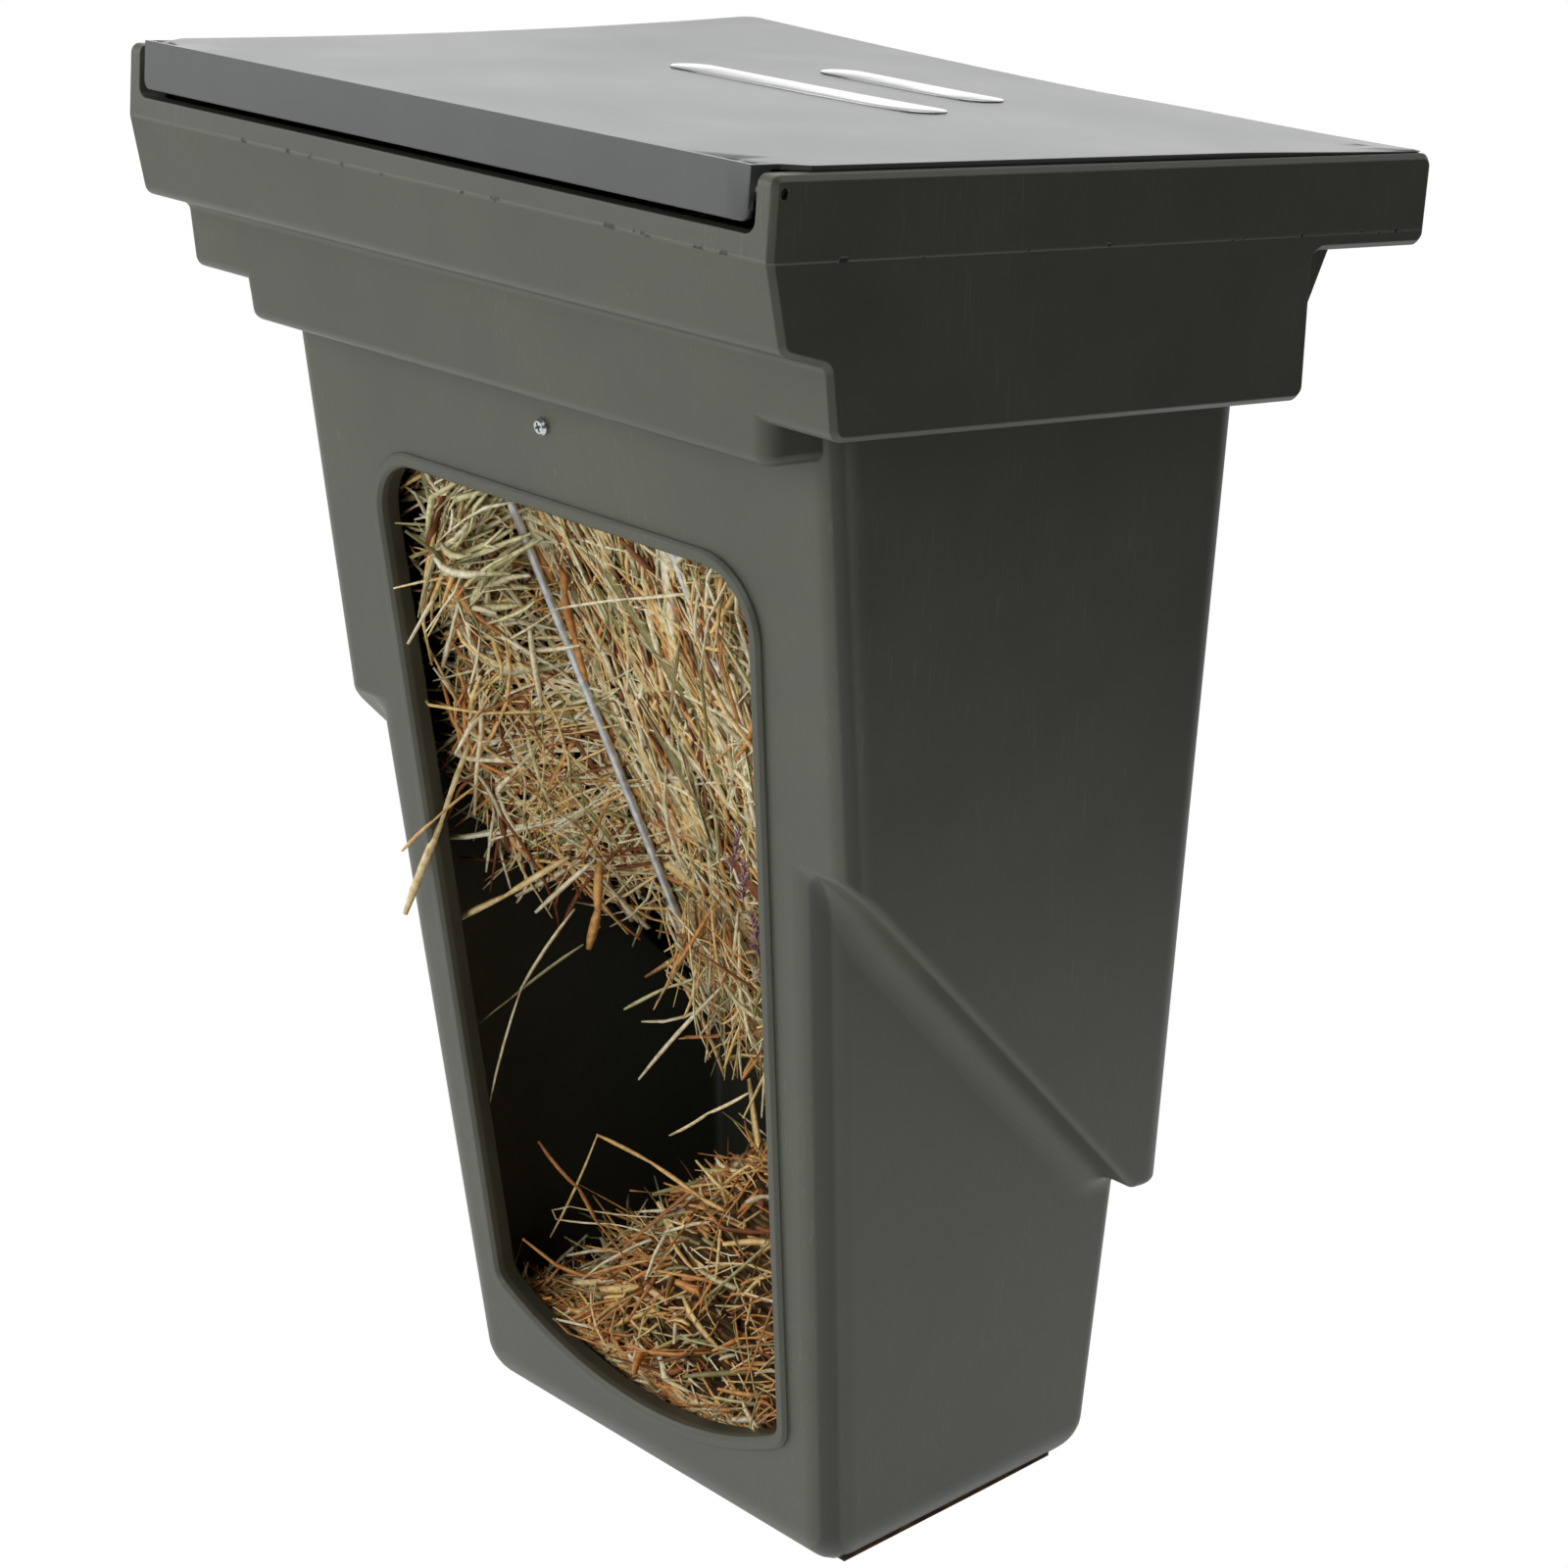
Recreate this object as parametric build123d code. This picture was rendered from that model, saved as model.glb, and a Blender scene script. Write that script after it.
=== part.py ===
from build123d import *
import os
from math import cos, radians, sin, tan

# Hay feeder box for a stable wall: a moulded tub with a hinged lid, a feeding opening in its
# front wall and a bent-rod hay rack inside. Millimetres, +Z up, the front faces -Y, +X is right.
#
# The tub is drawn square to its rim: X right, Y back from the rim's front edge, Z up from the
# rim's top. LEAN then turns it until the back wall is upright, and the row's origin is put at
# the middle of the wall screws, on the back wall's outer face.

# Rim and the two stepped tiers under it
RIM_WIDTH = 640.0
RIM_DEPTH = 528.0
RIM_FLARE = 0.6
PARTING_DROP = 46.0
TIER_1_DROP = 96.5
TIER_1_LEAN = 15.4
STEP_DEPTH = 33.0
STEP_FALL = 8.2
TIER_2_DROP = 146.8
OVERHANG_DROP = 56.0
RIM_FRONT_RADIUS = 6.0
RIM_BACK_RADIUS = 8.0
TIER_RADIUS = 9.0
STEP_RADIUS = 7.0
SIDE_EDGE_BEVEL = 3.4

# Gusset under the overhang at each end of the back wall
GUSSET_THICK = 10.0
GUSSET_FROM_END = 1.0
GUSSET_DEPTH = 18.0
GUSSET_HEIGHT = 38.0

# Walls
WALL = 6.0
RIM_WALL = 14.0
RIM_WALL_DROP = 38.0
LEAN = 2.811
FRONT_LEAN = 10.4
FRONT_AT_RIM = 67.2
BACK_AT_RIM = 425.6

# Bulge that carries tier 2's front wall lower between its ends
BULGE_HALF_AT_RIM = 274.5
BULGE_DRAFT = 4.0
BULGE_DROP = 172.2
BULGE_CORNER = 12.0
BULGE_EDGE_RADIUS = 8.0

# Hay chamber, with a slanting ledge at each side that funnels the hay into the trough
LEDGE_WIDTH_AT_RIM = 14.2
CHAMBER_DRAFT = 2.45
CHAMBER_CORNER = 20.0
CHAMBER_DROP = 820.0
LEDGE_DROP = 299.0
LEDGE_FALL_BACKWARD = 0.90
LEDGE_TIP_DROP = 686.0
UPPER_FOLD_RADIUS = 6.0
LOWER_FOLD_RADIUS = 22.0
NEAR = 0.5

# Feed trough
TROUGH_HALF_AT_RIM = 268.5
TROUGH_DRAFT = 4.67
TROUGH_CORNER = 24.0
TROUGH_BACK_CORNER = 12.0
TROUGH_TOP_DROP = 300.0
TROUGH_FRONT_DROP = 948.0
TROUGH_FLOOR_SLOPE = 0.15
TROUGH_FLOOR_RADIUS = 36.0

# Feeding opening and its rolled lip
OPENING_TOP_DROP = 255.0
OPENING_TOP_HALF = 190.0
OPENING_SIDE_DROP = 848.0
OPENING_BOTTOM_HALF = 151.5
OPENING_BOTTOM_DROP = 888.4
OPENING_TOP_RADIUS = 38.0
OPENING_BOTTOM_RADIUS = 15.0
LIP_WIDTH = 10.0
LIP_PROUD = 4.0
LIP_RETURN = 12.0
LIP_BEVEL = 2.4
FACING = 0.999

# Notch for the lid's skirt, between the two corner posts
NOTCH_DROP = 33.0
NOTCH_RADIUS = 8.0

# Lid
LID_GAP = 0.3
LID_THICK = 3.0
LID_FRONT_HALF = 310.0
LID_BACK_HALF = 320.5
LID_BACK_MARGIN = 1.0
LID_BACK_RADIUS = 10.0
LID_EAR_DEPTH = 20.0
LID_FLARE_DEPTH = 34.0
SKIRT_HALF = 300.0
SKIRT_HEIGHT = 27.0
SKIRT_THICK = 4.0
SKIRT_RADIUS = 6.0
FLANGE_FRONT = 80.0
FLANGE_DEPTH = 12.0
FLANGE_THICK = 3.0
FLANGE_GAP = 4.0

# Lid hinge
PIN_BEHIND_FRONT = 7.5
PIN_DROP = 9.6
PIN_DIAMETER = 6.4
PIN_CLEARANCE = 0.05
PIN_RECESS = 4.0
PIN_END_GAP = 1.0
EYE_DIAMETER = 13.0
EYE_LENGTH = 30.0
EYE_END = 4.0
SLOT_LENGTH = 10.0
SLOT_WIDTH = 3.5
SLOT_PITCH = 14.5
SLOT_FROM_END = 15.0
SLOT_BEHIND_FRONT = 6.0

# Badge plates on the lid
BADGE_THICK = 1.2
BADGE_WIDTH = 34.0
BADGE_LENGTHS = (250.0, 160.0)
BADGE_PITCH = 92.0
BADGE_CENTRE_BACK = 345.0

# Hay rack: one rod bent to a hairpin, and its fixings
ROD_DIAMETER = 6.0
RACK_HALF = 83.5
RACK_TOP_BEND = 22.0
RACK_LEAN = 27.92
RACK_KNEE_DROP = 640.0
RACK_KNEE_BEND = 30.0
RACK_HEEL_FALL = 30.0
RACK_HEEL_BEND = 15.0
RACK_FOOT_LENGTH = 55.0
RACK_SCREW_DROP = 199.0
CLIP_SCREW_OFFSET = 12.0
SCREW_DIAMETER = 6.0
SCREW_HEAD_DIAMETER = 11.5
SCREW_HEAD_HEIGHT = 4.0
SCREW_SPARE = 4.0
SCREW_TURN = 20.0
NUT_ACROSS_FLATS = 10.0
NUT_HEIGHT = 5.0
NUT_BEVEL = 0.6
WASHER_DIAMETER = 12.5
WASHER_THICK = 1.6
CLIP_THICK = 2.0
CLIP_WIDTH = 22.0
CLIP_TAB = 17.0
FIT_CLEARANCE = 0.05
FOOT_SCREW_DIAMETER = 4.0
FOOT_SCREW_HEAD_DIAMETER = 8.0
FOOT_SCREW_HEAD_HEIGHT = 2.6
FOOT_SCREW_BITE = 4.5
FOOT_CLIP_BELOW_HEEL = 34.0
HEAD_SIDE = 0.5
HEAD_SHOULDER = 0.72
RECESS_LENGTH = 0.55
RECESS_WIDTH = 0.14

# Wall screws: four holes through the back wall
WALL_HOLE_DIAMETER = 8.5
WALL_HOLES_ACROSS = 300.0
WALL_HOLES_APART = 250.0
WALL_HOLES_DROP = 300.0

# Worked out from the sizes above
RIM_HALF = RIM_WIDTH / 2
CHAMBER_HALF_AT_RIM = TROUGH_HALF_AT_RIM + LEDGE_WIDTH_AT_RIM
MOUTH_HALF = RIM_HALF - RIM_WALL
TIER_1_BACK = (TIER_1_DROP - PARTING_DROP) * tan(radians(TIER_1_LEAN))
TIER_2_BACK = TIER_1_BACK + STEP_DEPTH
TIER_2_TOP_DROP = TIER_1_DROP + STEP_FALL
PIN_LENGTH = (RIM_HALF - PIN_RECESS) - (SKIRT_HALF - EYE_LENGTH + EYE_END + PIN_END_GAP)
ROD_RADIUS = ROD_DIAMETER / 2
BASE = (Align.CENTER, Align.CENTER, Align.MIN)
PLACE = Pos(0, -BACK_AT_RIM * cos(radians(LEAN)), WALL_HOLES_DROP) * Rot(-LEAN, 0, 0)


def front_wall(z):
    """Y of the front wall's outer face at a height."""
    return FRONT_AT_RIM - z * tan(radians(FRONT_LEAN))


def tier_2_front(z):
    """Y of tier 2's front face, which the bulge continues."""
    return TIER_2_BACK - (z + TIER_2_TOP_DROP) * tan(radians(FRONT_LEAN))


def back_wall(z):
    """Y of the back wall's outer face at a height."""
    return BACK_AT_RIM - z * tan(radians(LEAN))


def section(z, half, front, back, corner):
    """Rounded rectangle in a level plane, symmetric about X = 0."""
    return Pos(0, (front + back) / 2, z) * RectangleRounded(2 * half, back - front, corner)


def draughted_box(top, bottom, half_at_rim, draft, inset):
    """Flat-sided box between two heights, between the front and back walls, inset by a wall."""
    side_inset = inset / cos(radians(draft))
    front_inset = inset / cos(radians(FRONT_LEAN))
    back_inset = inset / cos(radians(LEAN))
    half_top = half_at_rim + top * tan(radians(draft)) - side_inset
    half_bottom = half_at_rim + bottom * tan(radians(draft)) - side_inset
    side_view = Polyline(
        (front_wall(top) + front_inset, top),
        (front_wall(bottom) + front_inset, bottom),
        (back_wall(bottom) - back_inset, bottom),
        (back_wall(top) - back_inset, top),
        close=True,
    )
    front_view = Polyline(
        (-half_top, top),
        (-half_bottom, bottom),
        (half_bottom, bottom),
        (half_top, top),
        close=True,
    )
    from_side = extrude(make_face(Plane.YZ * side_view), RIM_WIDTH, both=True)
    from_front = extrude(make_face(Plane.XZ * front_view), 2 * RIM_DEPTH, both=True)
    return from_side & from_front


def upright_edges(block):
    """The tall edges of a box, from front to back."""
    tall = block.bounding_box().size.Z / 2
    return block.edges().filter_by(lambda edge: edge.bounding_box().size.Z > tall).sort_by(Axis.Y)


def tier_profile():
    """Side outline of the rim band, the two tiers and the overhang, in Y and Z."""
    corners = (
        (0, 0),
        (0, -PARTING_DROP),
        (TIER_1_BACK, -TIER_1_DROP),
        (TIER_2_BACK, -TIER_2_TOP_DROP),
        (tier_2_front(-TIER_2_DROP), -TIER_2_DROP),
        (back_wall(-TIER_2_DROP), -TIER_2_DROP),
        (back_wall(-OVERHANG_DROP), -OVERHANG_DROP),
        (RIM_DEPTH, -OVERHANG_DROP),
        (RIM_DEPTH, 0),
    )
    return corners


def outer_tiers():
    """Rim band, tiers and overhang: rounded along X, bevelled round both ends."""
    radii = (
        RIM_FRONT_RADIUS,
        0,
        TIER_RADIUS,
        STEP_RADIUS,
        TIER_RADIUS,
        TIER_RADIUS,
        RIM_BACK_RADIUS,
        RIM_BACK_RADIUS,
        RIM_BACK_RADIUS,
    )
    outline = make_face(Plane.YZ * FilletPolyline(*tier_profile(), radius=radii, close=True))
    block = flared_ends(extrude(outline, RIM_WIDTH, both=True), 0)
    block = chamfer(block.faces().sort_by(Axis.X)[-1].edges(), SIDE_EDGE_BEVEL)
    right = split(block, Plane.YZ, keep=Keep.TOP)
    return right + mirror(right, Plane.YZ)


def flared_ends(block, inset):
    """Trim a block to the rim's width, which grows a little from front to back."""
    for side in (-1, 1):
        outward = Vector(side * cos(radians(RIM_FLARE)), -sin(radians(RIM_FLARE)), 0)
        end = Plane(origin=Vector(side * RIM_HALF, 0, 0) - outward * inset, z_dir=outward)
        block = split(block, end, keep=Keep.BOTTOM)
    return block


def gusset(side):
    """Sloping web in the corner under the overhang, near one end of the back wall."""
    inside = back_wall(-OVERHANG_DROP) - WALL / 2
    outline = Polyline(
        (inside, -OVERHANG_DROP + WALL / 2),
        (back_wall(-OVERHANG_DROP) + GUSSET_DEPTH, -OVERHANG_DROP + WALL / 2),
        (back_wall(-OVERHANG_DROP) + GUSSET_DEPTH, -OVERHANG_DROP),
        (back_wall(-OVERHANG_DROP - GUSSET_HEIGHT), -OVERHANG_DROP - GUSSET_HEIGHT),
        (inside, -OVERHANG_DROP - GUSSET_HEIGHT),
        close=True,
    )
    web = extrude(make_face(Plane.YZ * outline), GUSSET_THICK / 2, both=True)
    return Pos(side * (RIM_HALF - GUSSET_FROM_END - GUSSET_THICK / 2), 0, 0) * web


def inner_tiers():
    """Hollow of the rim band and tiers, and the narrower mouth through the thick rim."""
    outline = make_face(Plane.YZ * Polyline(*tier_profile(), close=True))
    hollow = extrude(offset(outline, -WALL, kind=Kind.INTERSECTION), RIM_WIDTH, both=True)
    above = Pos(0, 0, -RIM_WALL_DROP) * Box(2 * RIM_WIDTH, 4 * RIM_DEPTH, 2 * RIM_WALL_DROP, align=BASE)
    mouth = section(-RIM_WALL_DROP, MOUTH_HALF, RIM_WALL, RIM_DEPTH - RIM_WALL, RIM_WALL)
    return flared_ends(hollow, WALL) - above + extrude(mouth, RIM_WALL_DROP + WALL)


def bulge(inset):
    """Lower middle stretch of tier 2's front wall."""
    sections = []
    for z in (-TIER_2_TOP_DROP - inset, -BULGE_DROP + inset):
        half = BULGE_HALF_AT_RIM + z * tan(radians(BULGE_DRAFT)) - inset
        front = tier_2_front(z) + inset / cos(radians(FRONT_LEAN))
        back = front_wall(z) + 3 * WALL
        sections.append(section(z, half, front, back, BULGE_CORNER - inset))
    block = loft(sections, ruled=True)
    if inset:
        return block
    return fillet(block.faces().sort_by(Axis.Z)[0].edges(), BULGE_EDGE_RADIUS)


def ledge_plane(inset):
    """Plane of the two ledges, which fall towards the back wall, moved inwards by the wall."""
    normal = Vector(0, LEDGE_FALL_BACKWARD, 1).normalized()
    return Plane(origin=Vector(0, 0, -LEDGE_DROP) + normal * inset, z_dir=normal)


def chamber(inset):
    """Wide part that holds the hay, cut off below along the two ledges."""
    wide = draughted_box(
        -TIER_2_DROP + 4 * WALL, -CHAMBER_DROP, CHAMBER_HALF_AT_RIM, CHAMBER_DRAFT, inset
    )
    wide = fillet(upright_edges(wide), CHAMBER_CORNER - inset)
    wide = split(wide, ledge_plane(inset), keep=Keep.TOP)
    wide = split(wide, Plane.XY.offset(inset - LEDGE_TIP_DROP), keep=Keep.TOP)
    if inset:
        return wide
    underside = wide.faces().sort_by(Axis.Z)[:2]
    return fillet(underside[0].edges() + underside[1].edges(), UPPER_FOLD_RADIUS)


def trough(inset):
    """Narrow lower part with a sloping floor and well rounded bottom edges."""
    deepest = -TROUGH_FRONT_DROP - TROUGH_FLOOR_RADIUS
    deep = draughted_box(-TROUGH_TOP_DROP, deepest, TROUGH_HALF_AT_RIM, TROUGH_DRAFT, inset)
    normal = Vector(0, -TROUGH_FLOOR_SLOPE, 1).normalized()
    front_foot = Vector(0, front_wall(-TROUGH_FRONT_DROP), -TROUGH_FRONT_DROP)
    deep = split(deep, Plane(origin=front_foot + normal * inset, z_dir=normal), keep=Keep.TOP)
    floor = deep.faces().sort_by(Axis.Z)[0]
    deep = fillet(floor.edges(), TROUGH_FLOOR_RADIUS - inset)
    deep = fillet(upright_edges(deep)[:2], TROUGH_CORNER - inset)
    return fillet(upright_edges(deep)[-2:], TROUGH_BACK_CORNER - inset)


def hollow_ledge_folds(tub):
    """Round the hollow folds where the two ledges meet the trough's sides."""
    return fillet([edge for edge in tub.edges() if is_hollow_fold(edge)], LOWER_FOLD_RADIUS)


def is_hollow_fold(edge):
    """Whether an edge is the long one down a ledge on the trough's side."""
    middle = edge @ 0.5
    above_ledge = middle.Z + LEDGE_DROP + LEDGE_FALL_BACKWARD * middle.Y
    trough_half = TROUGH_HALF_AT_RIM + middle.Z * tan(radians(TROUGH_DRAFT))
    beside_trough = abs(middle.X) - trough_half
    return max(abs(above_ledge), abs(beside_trough)) < NEAR and edge.length > TROUGH_CORNER


def front_wall_plane():
    """Plane of the front wall's outer face, facing out, with Y up along the slope."""
    turn = radians(FRONT_LEAN)
    return Plane(origin=(0, FRONT_AT_RIM, 0), x_dir=(1, 0, 0), z_dir=(0, -cos(turn), -sin(turn)))


def along_front(drop):
    """Distance down the front wall's slope to a drop below the rim."""
    return -drop / cos(radians(FRONT_LEAN))


def opening_face():
    """Outline of the feeding opening on the front wall: straight sides, an arc for a sill."""
    top = along_front(OPENING_TOP_DROP)
    side = along_front(OPENING_SIDE_DROP)
    sill = along_front(OPENING_BOTTOM_DROP)
    frame = Polyline(
        (-OPENING_BOTTOM_HALF, side),
        (-OPENING_TOP_HALF, top),
        (OPENING_TOP_HALF, top),
        (OPENING_BOTTOM_HALF, side),
    )
    arc = ThreePointArc((OPENING_BOTTOM_HALF, side), (0, sill), (-OPENING_BOTTOM_HALF, side))
    outline = make_face(frame + arc)
    outline = fillet(outline.vertices().sort_by(Axis.Y)[-2:], OPENING_TOP_RADIUS)
    return fillet(outline.vertices().sort_by(Axis.Y)[:2], OPENING_BOTTOM_RADIUS)


def opening_cut():
    """Everything in front of and behind the opening's outline."""
    return extrude(front_wall_plane() * opening_face(), 3 * LIP_RETURN, both=True)


def opening_lip():
    """Bevelled band round the opening, with a collar that turns in behind the wall."""
    wall_plane = front_wall_plane()
    band = wall_plane * offset(opening_face(), LIP_WIDTH)
    collar = wall_plane * offset(opening_face(), WALL)
    proud = extrude(band, LIP_PROUD) + extrude(band, -WALL / 2)
    proud -= opening_cut()
    outward = proud.faces().filter_by(lambda face: face.normal_at().dot(wall_plane.z_dir) > FACING)
    proud = chamfer(outward.sort_by(SortBy.AREA)[-1].edges(), LIP_BEVEL)
    return proud + (extrude(collar, -LIP_RETURN) - opening_cut())


def notch_cut():
    """Cut through the rim's front for the lid's skirt, and square into the mouth's front corners."""
    tall = 2 * NOTCH_DROP
    outline = Pos(0, tall / 2 - NOTCH_DROP) * RectangleRounded(2 * MOUTH_HALF, tall, NOTCH_RADIUS)
    return extrude(Plane.XZ * outline, 2 * RIM_WALL, both=True)


def across(x_start, length, radius, y, z):
    """Cylinder along X from a starting X."""
    return Pos(x_start + length / 2, y, z) * Rot(0, 90, 0) * Cylinder(radius, length)


def pin_holes():
    """Holes for the two hinge pins through the corner posts."""
    holes = []
    for side in (-1, 1):
        start = MOUTH_HALF - RIM_WALL if side > 0 else -RIM_HALF - RIM_WALL
        radius = PIN_DIAMETER / 2 + PIN_CLEARANCE
        holes.append(across(start, 3 * RIM_WALL, radius, PIN_BEHIND_FRONT, -PIN_DROP))
    return holes


def wall_holes():
    """Four screw holes square to the back wall, placed in the row's frame."""
    hole = Rot(90, 0, 0) * Cylinder(WALL_HOLE_DIAMETER / 2, 6 * WALL)
    return [place * hole for place in wall_hole_places()]


def wall_hole_places():
    """Centres of the wall screw holes on the back face."""
    places = []
    for x in (-WALL_HOLES_ACROSS / 2, WALL_HOLES_ACROSS / 2):
        for z in (-WALL_HOLES_APART / 2, WALL_HOLES_APART / 2):
            places.append(Pos(x, 0, z))
    return places


def rack_screw_place():
    """Frame at the rack screw: on the front wall's outer face, Z pointing out."""
    return front_wall_plane() * Pos(0, along_front(RACK_SCREW_DROP), 0)


def body_shell():
    """The moulded tub."""
    outside = hollow_ledge_folds(outer_tiers() + bulge(0) + chamber(0) + trough(0))
    inside = inner_tiers() + bulge(WALL) + chamber(WALL) + trough(WALL)
    for side in (-1, 1):
        outside += gusset(side)
    tub = outside - inside - notch_cut()
    for hole in pin_holes():
        tub -= hole
    for side in (-1, 1):
        tub -= foot_screw_hole(side)
    tub = tub - opening_cut() + opening_lip()
    tub -= rack_screw_place() * Cylinder(SCREW_DIAMETER / 2 + FIT_CLEARANCE, 6 * WALL)
    tub = PLACE * tub
    for hole in wall_holes():
        tub -= hole
    return tub


def lid_outline():
    """Lid from above: narrow between the posts, then flaring over the side rims."""
    back = RIM_DEPTH - LID_BACK_MARGIN
    right = (
        (SKIRT_HALF, 0),
        (SKIRT_HALF, LID_EAR_DEPTH),
        (LID_FRONT_HALF, LID_FLARE_DEPTH),
        (LID_BACK_HALF, back),
    )
    left = [(-x, y) for x, y in reversed(right)]
    outline = make_face(Polyline(*right, *left, close=True))
    return fillet(outline.vertices().sort_by(Axis.Y)[-2:], LID_BACK_RADIUS)


def lid_skirt():
    """Front skirt with rounded lower corners, hanging in the notch."""
    tall = SKIRT_HEIGHT + LID_GAP + LID_THICK
    outline = RectangleRounded(2 * SKIRT_HALF, 2 * tall, SKIRT_RADIUS)
    sheet = extrude(Plane.XZ * Pos(0, LID_GAP + LID_THICK) * outline, -SKIRT_THICK)
    return sheet & Pos(0, 0, -SKIRT_HEIGHT) * Box(4 * SKIRT_HALF, RIM_DEPTH, tall, align=BASE)


def lid_flange():
    """Shallow flange under the lid that keeps it square in the mouth."""
    inset = RIM_WALL + FLANGE_GAP
    half = RIM_HALF - inset
    back = RIM_DEPTH - inset
    foot = LID_GAP - FLANGE_DEPTH
    inner_back = back - FLANGE_THICK
    inner_corner = RIM_WALL - FLANGE_THICK
    outer = section(foot, half, FLANGE_FRONT, back, RIM_WALL)
    inner = section(foot, half - FLANGE_THICK, FLANGE_FRONT - RIM_WALL, inner_back, inner_corner)
    flange = extrude(outer, FLANGE_DEPTH) - extrude(inner, FLANGE_DEPTH)
    return flange - Pos(0, FLANGE_FRONT, 0) * Box(2 * RIM_WIDTH, 2 * RIM_WALL, 4 * FLANGE_DEPTH)


def hinge_eye(side):
    """Eye at one end of the skirt, blind at its inner end, webbed up to the lid."""
    start = SKIRT_HALF - EYE_LENGTH if side > 0 else -SKIRT_HALF
    eye = across(start, EYE_LENGTH, EYE_DIAMETER / 2, PIN_BEHIND_FRONT, -PIN_DROP)
    web_height = PIN_DROP + LID_GAP + LID_THICK / 2
    web = Pos(start + EYE_LENGTH / 2, PIN_BEHIND_FRONT, -PIN_DROP + web_height / 2) * Box(
        EYE_LENGTH, EYE_DIAMETER, web_height
    )
    return eye + web


def eye_bore(side):
    """Bore of one hinge eye."""
    length = EYE_LENGTH - EYE_END
    start = SKIRT_HALF - length if side > 0 else -SKIRT_HALF - RIM_WALL
    radius = PIN_DIAMETER / 2 + PIN_CLEARANCE
    return across(start, length + RIM_WALL, radius, PIN_BEHIND_FRONT, -PIN_DROP)


def lid_slots(side):
    """Two small moulding slots in line over one hinge eye."""
    slots = []
    for step in (-0.5, 0.5):
        x = side * (SKIRT_HALF - SLOT_FROM_END + step * SLOT_PITCH)
        slot = Box(SLOT_LENGTH, SLOT_WIDTH, 2 * LID_THICK)
        slots.append(Pos(x, SLOT_BEHIND_FRONT, LID_GAP + LID_THICK) * slot)
    return slots


def lid_panel():
    """Lid in one piece with its skirt, flange and hinge eyes."""
    lid = Pos(0, 0, LID_GAP) * extrude(lid_outline(), LID_THICK)
    lid = lid + lid_skirt() + lid_flange()
    for side in (-1, 1):
        lid += hinge_eye(side)
    for side in (-1, 1):
        lid -= eye_bore(side)
        for slot in lid_slots(side):
            lid -= slot
    return PLACE * lid


def hinge_pin(side):
    """Plain pin, sunk below the side wall."""
    start = RIM_HALF - PIN_RECESS - PIN_LENGTH if side > 0 else -RIM_HALF + PIN_RECESS
    return PLACE * across(start, PIN_LENGTH, PIN_DIAMETER / 2, PIN_BEHIND_FRONT, -PIN_DROP)


def badge_plate(index):
    """One flat bar with round ends on the lid."""
    y = BADGE_CENTRE_BACK + (index - 0.5) * BADGE_PITCH
    bar = extrude(SlotOverall(BADGE_LENGTHS[index], BADGE_WIDTH), BADGE_THICK)
    bar = chamfer(bar.faces().sort_by(Axis.Z)[-1].edges(), BADGE_THICK / 3)
    return PLACE * Pos(0, y, LID_GAP + LID_THICK) * bar


def rod_path():
    """Centre line of the rack rod, from one foot up, across and down to the other foot."""
    behind_wall = WALL + FIT_CLEARANCE + ROD_RADIUS
    top = rack_screw_place() * Pos(0, -CLIP_SCREW_OFFSET, -behind_wall)
    top_y = top.position.Y
    top_z = top.position.Z
    knee_z = -RACK_KNEE_DROP
    knee_y = top_y + (top_z - knee_z) * tan(radians(RACK_LEAN))
    foot_in = behind_wall / cos(radians(LEAN))
    heel_z = knee_z - RACK_HEEL_FALL
    heel_y = back_wall(heel_z) - foot_in
    toe_z = heel_z - RACK_FOOT_LENGTH
    toe_y = back_wall(toe_z) - foot_in
    half = [
        (RACK_HALF, toe_y, toe_z),
        (RACK_HALF, heel_y, heel_z),
        (RACK_HALF, knee_y, knee_z),
        (RACK_HALF, top_y, top_z),
    ]
    other = [(-x, y, z) for x, y, z in reversed(half)]
    bends = (RACK_HEEL_BEND, RACK_KNEE_BEND, RACK_TOP_BEND)
    return FilletPolyline(*half, *other, radius=bends + bends[::-1])


def hay_rack_rod():
    """Galvanised rod bent to a hairpin, with feet turned down along the back wall."""
    path = rod_path()
    start = Plane(origin=path @ 0, z_dir=path % 0)
    rod = sweep(start * Circle(ROD_RADIUS), path=path)
    ends = rod.faces().filter_by(GeomType.PLANE)
    return PLACE * chamfer(ends.edges(), ROD_RADIUS / 5)


def saddle_clip(screw_diameter):
    """Strip with a half-round saddle for the rod and a flat tab for its screw.

    Drawn with the wall's face at Z = 0, the rod along X at Y = 0 and the tab towards +Y.
    """
    inside = ROD_RADIUS + FIT_CLEARANCE
    outside = inside + CLIP_THICK
    arch = Pos(0, inside) * Circle(outside) + Pos(0, inside / 2) * Rectangle(2 * outside, inside)
    arch &= Pos(0, 2 * outside) * Rectangle(4 * outside, 4 * outside)
    hollow = Pos(0, inside) * Circle(inside) + Pos(0, inside / 2) * Rectangle(2 * inside, inside)
    tab = Pos(outside + CLIP_TAB / 2 - CLIP_THICK / 2, CLIP_THICK / 2) * Rectangle(CLIP_TAB, CLIP_THICK)
    side_view = Plane(origin=(0, 0, 0), x_dir=(0, 1, 0), z_dir=(1, 0, 0))
    strip = extrude(side_view * (arch - hollow + tab), CLIP_WIDTH / 2, both=True)
    hole = Pos(0, CLIP_SCREW_OFFSET, 0) * Cylinder(screw_diameter / 2 + FIT_CLEARANCE, 3 * CLIP_THICK)
    return strip - hole


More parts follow.
